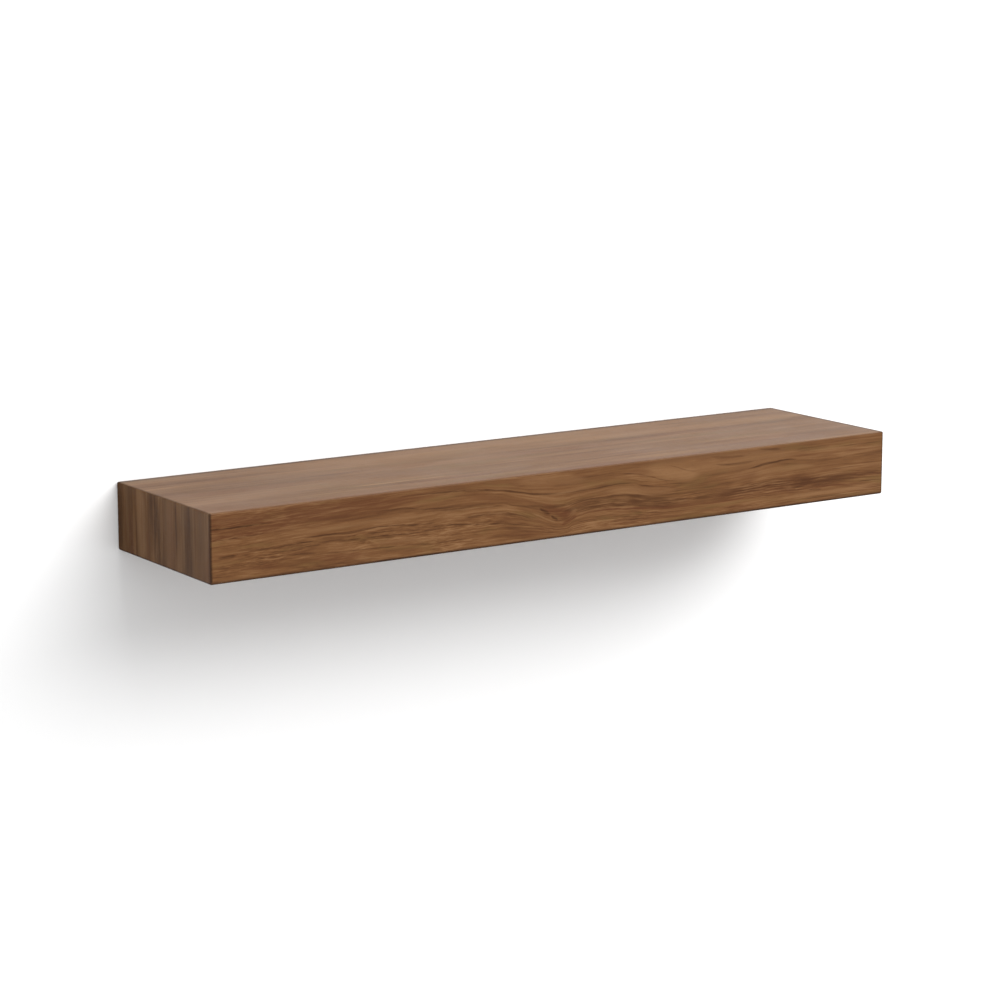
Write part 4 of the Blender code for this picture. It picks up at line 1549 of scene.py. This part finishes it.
def radius_of(node: str) -> float:
    """Half the least width of a CAD node's box, which is a turned node's largest radius."""
    low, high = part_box(node)
    return min(high - low) / 2


def length_of(node: str) -> float:
    """The size of a CAD node's box along Y, which is the length of a screw or plug of the bracket."""
    low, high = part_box(node)
    return high.y - low.y


@dataclass
class Bracket:
    """The steel bracket that stays on the wall, with its screws and plugs.

    Args:
        rods: How many rods it has.
        body: The CAD body that it is.
        made: The new pieces so far.
    """

    rods: int = 4
    body: str = "wall_bracket"
    made: list[Piece] = field(default_factory=list)

    def fit(self, kind: str, made: str, mesh: Mesh, way: int, finish: Material, slot: str) -> None:
        """Sets a new piece on the bracket's body in place of each CAD node of one kind.

        Args:
            kind: What the nodes' names start with.
            made: What the new pieces' names start with.
            mesh: The new pieces' mesh, which stands on the origin along +Z.
            way: The way that their axis points along Y.
            finish: Their finish.
            slot: Not used.
        """
        for number in range(1, self.rods + 1):
            node = f"{kind}_{number}"
            low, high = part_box(node)
            base = middle_of(node)
            base.y = low.y if way > 0 else high.y
            piece = set_down(f"{made}_{number}", mesh, base, Vector((0, way, 0)))
            dress(piece, finish)
            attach(piece, self.body)
            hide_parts(node)
            self.made.append(piece)

    def dress_plate(self) -> None:
        """Powder-coats the flat bar."""
        low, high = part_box("wall_plate")
        coat = PowderCoat("black_powder_coat", tuple((low + high) / 2), tuple((high - low) / 2))
        dress(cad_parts["wall_plate"], coat.material())

    def dress_rods(self) -> None:
        """Gives the rods their drawn steel."""
        steel = Metal("drawn_steel", (0.56, 0.56, 0.57), (0.47, 0.47, 0.49), 0.27).material()
        for number in range(1, self.rods + 1):
            dress(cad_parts[f"support_rod_{number}"], steel)

    def fit_rod_screws(self, zinc: Material) -> None:
        """Puts threaded machine screws in behind the rods.

        Args:
            zinc: The plated finish.
        """
        screw = Screw(head_radius=radius_of("rod_screw_1"), head_height=0.0027, shank_radius=0.003,
                      core_radius=0.00245, crest_radius=0.00298, pitch=0.001, ridge_share=0.86,
                      thread_start=0.0045, length=length_of("rod_screw_1"), point_length=0.001,
                      tip_radius=0.0023, drive=Drive.HEXAGON, drive_width=0.004, drive_depth=0.0024)
        self.fit("rod_screw", "rod_screw_threaded", screw.mesh(), -1, zinc, "zinc_steel")

    def fit_wall_screws(self, zinc: Material) -> None:
        """Drives threaded wood screws through the plate.

        Args:
            zinc: The plated finish.
        """
        screw = Screw(head_radius=radius_of("wall_screw_1"), head_height=0.0033, shank_radius=0.0021,
                      core_radius=0.0016, crest_radius=0.0026, pitch=0.0026, ridge_share=0.42,
                      thread_start=0.014, length=length_of("wall_screw_1"), point_length=0.007,
                      tip_radius=0.0003, drive=Drive.SQUARE, drive_width=0.0028, drive_depth=0.0025)
        self.fit("wall_screw", "wall_screw_threaded", screw.mesh(), 1, zinc, "zinc_steel")

    def fit_plugs(self) -> None:
        """Sets the barbed plugs in the wall."""
        nylon = Nylon("grey_nylon", (0.26, 0.27, 0.29), (0.32, 0.33, 0.35), 0.5).material()
        plug = WallPlug(radius=radius_of("wall_plug_1"), bore=0.0027, length=length_of("wall_plug_1"),
                        collar=0.008)
        self.fit("wall_plug", "wall_plug_barbed", plug.mesh(), 1, nylon, "plug_nylon")

    def build(self, zinc: Material) -> list[Piece]:
        """Dresses the bracket and makes its fasteners.

        Args:
            zinc: The fasteners' plated finish.

        Returns:
            The new pieces.
        """
        self.dress_plate()
        self.dress_rods()
        self.fit_rod_screws(zinc)
        self.fit_wall_screws(zinc)
        self.fit_plugs()
        return self.made


@dataclass
class Locks:
    """The two socket set screws that clamp the outer rods from below.

    Args:
        made: The new pieces so far.
    """

    made: list[Piece] = field(default_factory=list)

    def build(self, zinc: Material) -> list[Piece]:
        """Makes the threaded set screws.

        Args:
            zinc: Their plated finish.

        Returns:
            The new pieces.
        """
        low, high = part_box("locking_screw_left")
        radius = radius_of("locking_screw_left")
        screw = Screw(head_radius=radius, head_height=0.0, shank_radius=radius * 0.94,
                      core_radius=radius * 0.82, crest_radius=radius * 0.995, pitch=0.001, ridge_share=0.86,
                      thread_start=0.0012, length=high.z - low.z, point_length=0.0012,
                      tip_radius=radius * 0.72, drive=Drive.HEXAGON, drive_width=0.003,
                      drive_depth=0.0035)
        mesh = screw.mesh()
        for side in ("left", "right"):
            node = f"locking_screw_{side}"
            base = middle_of(node)
            base.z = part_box(node)[0].z
            piece = set_down(f"locking_screw_threaded_{side}", mesh, base, Vector((0, 0, 1)))
            dress(piece, zinc)
            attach(piece, node)
            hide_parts(node)
            self.made.append(piece)
        return self.made


@dataclass
class ShelfBox:
    """The hollow walnut box with its core frame, sleeves and inserts.

    Args:
        body: The CAD body that it is.
        glue_reach: How far in the glue goes, along each of the faces.
        glue_inset: How far the glue lies within the sharp corner of an arris, on each of its faces.
        glue_thickness: How thick the glue line is.
        made: The new pieces so far.
    """

    body: str = "shelf_box"
    glue_reach: float = 0.0035
    glue_inset: float = 0.0008
    glue_thickness: float = 0.00026
    made: list[Piece] = field(default_factory=list)

    def __post_init__(self) -> None:
        """Reads the box's outside from the frame."""
        corners = [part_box(f"{name}_panel") for name in ("top", "bottom", "front")]
        corners += [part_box(f"end_panel_{side}") for side in ("left", "right")]
        self.low = Vector(min(low[axis] for low, _ in corners) for axis in range(3))
        self.high = Vector(max(high[axis] for _, high in corners) for axis in range(3))
        self.middle = (self.low + self.high) / 2
        self.half = (self.high - self.low) / 2

    def walnut(self, name: str, face: Face, grain: Grain, **settings: object) -> Material:
        """The walnut of one panel.

        Args:
            name: The material's name.
            face: The side that the panel makes.
            grain: The way its figure runs.
            settings: What sets its figure and colours apart.

        Returns:
            The material.
        """
        axis, way = face.value
        outside = (self.high if way > 0 else self.low)[AXES.index(axis)]
        places = [AXES.index(letter) for letter in grain.value]
        return Walnut(name, face, grain, outside, tuple(self.middle[place] for place in places),
                      tuple(self.half[place] for place in places), box_centre=tuple(self.middle),
                      box_half=tuple(self.half), **settings).material()

    def dress_panels(self) -> None:
        """Veneers the five panels."""
        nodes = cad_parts
        dress(nodes["front_panel"], self.walnut(
            "walnut_front_veneer", Face.FRONT, Grain.LENGTHWISE_UPRIGHT, flow=FRONT_FLOW, seed=3.0,
            lines=LEFT_OF_FRONT + MIDDLE_OF_FRONT + RIGHT_OF_FRONT, choppy=(1.7, 0.5), easing=0.24,
            shaded=((Face.BOTTOM, 0.0040, 1.0), (Face.LEFT, 0.0030, 1.0), (Face.RIGHT, 0.0034, 1.0))))
        dress(nodes["top_panel"], self.walnut(
            "walnut_top_veneer", Face.TOP, Grain.LENGTHWISE_FLAT, lines=TOP_LINES, seed=11.0,
            contrast=0.9, choppy=(0.2, 0.2), scale=(2.4, 1.9),
            shaded=((Face.BACK, 0.0130, 0.85), (Face.RIGHT, 0.0085, 0.85), (Face.LEFT, 0.0030, 0.4)),
            lacquer=(0.20, 0.36), lacquer_axis="X", deep=(0.096, 0.044, 0.0195),
            shade=(0.132, 0.064, 0.0290), body=(0.1715, 0.0885, 0.0412), light=(0.248, 0.138, 0.0685),
            red=(0.150, 0.067, 0.0325), olive=(0.162, 0.096, 0.0410)))
        dress(nodes["bottom_panel"], self.walnut(
            "walnut_underside_veneer", Face.BOTTOM, Grain.LENGTHWISE_FLAT, seed=23.0,
            shaded=((Face.FRONT, 0.0040, 1.0), (Face.LEFT, 0.0030, 1.0), (Face.RIGHT, 0.0030, 1.0),
                    (Face.BACK, 0.0030, 1.0))))
        # Painted shade darkens the left end broadly towards the bottom; it is also darker towards the wall.
        dress(nodes["end_panel_left"], self.walnut(
            "walnut_left_veneer", Face.LEFT, Grain.UPRIGHT, lines=LEFT_END_LINES + END_LINES, seed=31.0,
            shaded=((Face.FRONT, 0.0040, 1.0), (Face.BACK, 0.0035, 1.0), (Face.BOTTOM, 0.0035, 1.0),
                    (Face.BOTTOM, 0.0850, 0.22), (Face.BACK, 0.0550, 0.46)), **END_LOOKS))
        dress(nodes["end_panel_right"], self.walnut(
            "walnut_right_veneer", Face.RIGHT, Grain.UPRIGHT, lines=END_LINES, seed=43.0,
            shaded=((Face.FRONT, 0.0030, 1.0), (Face.BACK, 0.0035, 1.0), (Face.BOTTOM, 0.0035, 1.0),
                    (Face.TOP, 0.0030, 1.0)), **END_LOOKS))

    def dress_frame(self) -> None:
        """Gives the rails, stiles and ribs their softwood."""
        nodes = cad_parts
        rails = Softwood("rail_softwood", "X", (-0.10, 0.055)).material()
        ribs = Softwood("rib_softwood", "Y", (0.03, -0.06)).material()
        for name in ("back_rail", "middle_rail", "front_rail"):
            dress(nodes[name], rails)
        for name in ("end_stile_left", "end_stile_right", "cross_rib_1", "cross_rib_2", "cross_rib_3"):
            dress(nodes[name], ribs)

    def dress_small_parts(self) -> None:
        """Dresses the tongues, sleeves and inserts."""
        tongue = ThinPly("tongue_ply").material()
        sleeve = Nylon("white_nylon", (0.74, 0.73, 0.69), (0.66, 0.65, 0.60)).material()
        brass = Metal("turned_brass", (0.70, 0.48, 0.19), (0.58, 0.38, 0.14), 0.3, mark_axis="X").material()
        finishes = {"tongue_": tongue, "rod_sleeve_": sleeve, "threaded_insert_": brass}
        for name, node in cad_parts.items():
            for start, finish in finishes.items():
                if name.startswith(start):
                    dress(node, finish)

    def glue_mitres(self) -> None:
        """Lays the glue line in each of the eight long mitres."""
        glue = GlueLine("mitre_glue").material()
        ends = {"front": Vector((0, -1, 0)), "top": Vector((0, 0, 1)), "bottom": Vector((0, 0, -1)),
                "left": Vector((-1, 0, 0)), "right": Vector((1, 0, 0))}
        pairs = [("front", "top"), ("front", "bottom")]
        pairs += [(side, other) for side in ("left", "right") for other in ("top", "bottom", "front")]
        for first, second in pairs:
            outward = (ends[first] + ends[second]).normalized()
            over = (ends[first] - ends[second]).normalized()
            along = over.cross(outward)
            run = 2 * abs(along.dot(self.half))
            corner = self.middle + Vector(a * b for a, b in zip(ends[first] + ends[second], self.half))
            bm = bmesh.new()
            bmesh.ops.create_cube(bm, size=1)
            for vert in bm.verts:
                inset = self.glue_inset + self.glue_reach * (0.5 - vert.co.z)
                vert.co = (vert.co.x * (run - 2 * inset), vert.co.y * self.glue_thickness,
                           -inset * math.sqrt(2))
            turn = Matrix((along, over, outward)).transposed().to_4x4()
            bmesh.ops.transform(bm, matrix=Matrix.Translation(corner) @ turn, verts=bm.verts)
            piece = linked(f"glue_line_{first}_{second}", mesh_of(bm, f"glue_line_{first}_{second}"))
            dress(piece, glue)
            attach(piece, self.body)
            self.made.append(piece)

    def build(self) -> list[Piece]:
        """Dresses the box and glues its mitres.

        Returns:
            The new pieces.
        """
        self.dress_panels()
        self.dress_frame()
        self.dress_small_parts()
        self.glue_mitres()
        return self.made


@dataclass(frozen=True)
class Paint:
    """Pale paint on one side of a wall or floor: seen from behind, or by a lamp behind it, it isn't there.

    Args:
        name: The material's name.
        colour: The paint's colour.
        lift: The light that only the eye sees, so that a lit surface shows white.
        mirrored: How much of the paint's light reflections show.
    """

    name: str
    colour: Colour
    lift: float
    mirrored: float = 0.56

    def material(self) -> Material:
        """The finish as a material.

        Returns:
            The material.
        """
        material = bpy.data.materials.new(self.name)
        material.use_nodes = True
        tree = material.node_tree
        tree.nodes.clear()
        wires = Wiring(tree)
        diffuse = wires.add("ShaderNodeBsdfDiffuse")
        rays = wires.add("ShaderNodeLightPath").outputs
        dimmed = tuple(part * self.mirrored for part in self.colour)
        wires.feed_all(diffuse, Color=wires.mix(rays["Is Glossy Ray"], self.colour, dimmed))
        seen = wires.calc("MAXIMUM", rays["Is Camera Ray"], rays["Is Transmission Ray"])
        glow = wires.feed_all(wires.add("ShaderNodeEmission"),
                              Strength=wires.calc("MULTIPLY", seen, self.lift))
        both = wires.add("ShaderNodeAddShader")
        wires.feed(both.inputs[0], diffuse.outputs["BSDF"])
        wires.feed(both.inputs[1], glow.outputs["Emission"])
        clear = wires.add("ShaderNodeBsdfTransparent")
        behind = wires.add("ShaderNodeNewGeometry").outputs["Backfacing"]
        side = wires.add("ShaderNodeMixShader")
        wires.feed(side.inputs["Fac"], wires.calc("MAXIMUM", rays["Is Shadow Ray"], behind))
        wires.feed(side.inputs[1], both.outputs["Shader"])
        wires.feed(side.inputs[2], clear.outputs["BSDF"])
        wires.feed_all(wires.add("ShaderNodeOutputMaterial"), Surface=side.outputs["Shader"])
        return material


def heading(azimuth: float, elevation: float) -> Vector:
    """The way to a place, by its azimuth to the right of the wall's normal and its elevation."""
    return Vector((math.sin(azimuth) * math.cos(elevation), -math.cos(azimuth) * math.cos(elevation),
                   math.sin(elevation)))


@dataclass(frozen=True)
class Studio:
    """The wall, the floor, the light and the camera, none of which is part of the shelf.

    Args:
        wall_gap: How far behind the bracket the wall's paint lies.
        room: The width and height of the wall, and the depth of the floor.
        floor_height: How high the floor lies in the shelf's frame.
        key_way: Where the large soft lamp hangs, as an azimuth to the right of the wall's normal and an
            elevation.
        key_distance: How far off it hangs.
        key_size: How wide and tall it is.
        key_power: Its power in watts.
        sky: How bright the room's even light is.
        back_way: Where the weak lamp behind the wall hangs, which lights the back of the shelf.
        back_size: How wide and tall that lamp is.
        back_distance: How far off it hangs.
        back_power: Its power in watts.
        camera_way: The camera's azimuth and elevation.
        camera_distance: How far the camera stands from the point it looks at.
        camera_aim: That point's place to the right of the origin and above it, across the view.
        lens: The camera's lens on a 36 mm sensor.
    """

    wall_gap: float = 0.0002
    room: Place = (6.0, 4.0, 4.0)
    floor_height: float = -1.15
    key_way: Share = (math.radians(27.8), math.radians(36.1))
    key_distance: float = 4.5
    key_size: Share = (5.62, 2.19)
    key_power: float = 228.0
    sky: float = 1.2
    back_way: Share = (math.radians(180), math.radians(-8))
    back_size: Share = (1.2, 1.2)
    back_distance: float = 2.2
    back_power: float = 30.0
    camera_way: Share = (math.radians(-33.548), math.radians(11.055))
    camera_distance: float = 3.4486
    camera_aim: Share = (0.03865, -0.03129)
    lens: float = 105.07

    def sheet(self, name: str, width: float, depth: float, normal: Vector, centre: Vector,
              paint: Paint) -> None:
        """One flat painted surface of the room.

        Args:
            name: Its name.
            width: Its size along X.
            depth: Its other size.
            normal: The side that is painted.
            centre: Its middle.
            paint: Its paint.
        """
        bm = bmesh.new()
        bmesh.ops.create_grid(bm, x_segments=1, y_segments=1, size=0.5)
        bmesh.ops.scale(bm, vec=(width, depth, 1), verts=bm.verts)
        tilt = Vector((0, 0, 1)).rotation_difference(normal).to_matrix().to_4x4()
        bmesh.ops.transform(bm, matrix=Matrix.Translation(centre) @ tilt, verts=bm.verts)
        mesh = bpy.data.meshes.new(name)
        bm.to_mesh(mesh)
        bm.free()
        piece = linked(name, mesh)
        dress(piece, paint.material())

    def build_room(self) -> None:
        """Makes the wall and the floor."""
        width, height, depth = self.room
        self.sheet("wall", width, height, Vector((0, -1, 0)),
                   Vector((0, self.wall_gap, self.floor_height + height / 2)),
                   Paint("wall_paint", (0.85, 0.85, 0.85), 0.065))
        self.sheet("floor", width, depth, Vector((0, 0, 1)), Vector((0, -depth / 2, self.floor_height)),
                   Paint("floor_paint", (0.25, 0.25, 0.25), 0.62))

    def lamp(self, name: str, way: Share, distance: float, size: Share, power: float) -> None:
        """A soft rectangular lamp that faces the shelf.

        Args:
            name: Its name.
            way: Its azimuth to the right of the wall's normal, and its elevation.
            distance: How far it is from the shelf.
            size: How wide and tall it is.
            power: Its power in watts.
        """
        out = heading(*way)
        data = bpy.data.lights.new(name, "AREA")
        data.shape = "RECTANGLE"
        data.size, data.size_y = size
        data.energy = power
        lamp = bpy.data.objects.new(name, data)
        lamp.location = out * distance
        lamp.rotation_euler = (-out).to_track_quat("-Z", "Y").to_euler()
        bpy.context.scene.collection.objects.link(lamp)

    def build_light(self) -> None:
        """Makes the lamps and the even light of the room."""
        self.lamp("key_lamp", self.key_way, self.key_distance, self.key_size, self.key_power)
        self.lamp("back_lamp", self.back_way, self.back_distance, self.back_size, self.back_power)
        world = bpy.data.worlds.new("room_light")
        bpy.context.scene.world = world
        world.use_nodes = True
        tree = world.node_tree
        tree.nodes.clear()
        wires = Wiring(tree)
        rays = wires.add("ShaderNodeLightPath").outputs
        seen = wires.calc("MAXIMUM", rays["Is Camera Ray"],
                          wires.calc("MAXIMUM", rays["Is Glossy Ray"], rays["Is Transmission Ray"]))
        even = wires.add("ShaderNodeBackground")
        wires.feed_all(even, Strength=wires.fit(seen, 0.0, 1.0, self.sky, 1.0, smooth=False))
        wires.feed_all(wires.add("ShaderNodeOutputWorld"), Surface=even.outputs["Background"])

    def build_camera(self) -> None:
        """Sets the camera at the photograph's place."""
        azimuth, elevation = self.camera_way
        back = heading(azimuth, elevation)
        right = Vector((math.cos(azimuth), math.sin(azimuth), 0))
        up = back.cross(right)
        data = bpy.data.cameras.new("camera")
        data.sensor_width = 36.0
        data.lens = self.lens
        camera = bpy.data.objects.new("camera", data)
        turn = Matrix((right, up, back)).transposed().to_4x4()
        place = right * self.camera_aim[0] + up * self.camera_aim[1] + back * self.camera_distance
        camera.matrix_world = Matrix.Translation(place) @ turn
        bpy.context.scene.collection.objects.link(camera)
        bpy.context.scene.camera = camera

    def build(self) -> None:
        """Makes the whole studio."""
        self.build_room()
        self.build_light()
        self.build_camera()
        bpy.context.scene.view_settings.view_transform = "Standard"


def main() -> None:
    """Builds the studio, then the bracket, the box that slides onto it and the screws that lock it."""
    logging.basicConfig(level=logging.INFO, format="%(message)s")
    Studio().build()
    zinc = Metal("zinc_plate", (0.66, 0.66, 0.64), (0.60, 0.57, 0.47), 0.32, mark_axis="Z").material()
    for assembly, pieces in (("bracket", Bracket().build(zinc)), ("box", ShelfBox().build()),
                             ("locks", Locks().build(zinc))):
        for piece in pieces:
            LOG.info("%s: %s, %d faces", assembly, piece.name, len(piece.data.polygons))


if __name__ == "__main__":
    main()
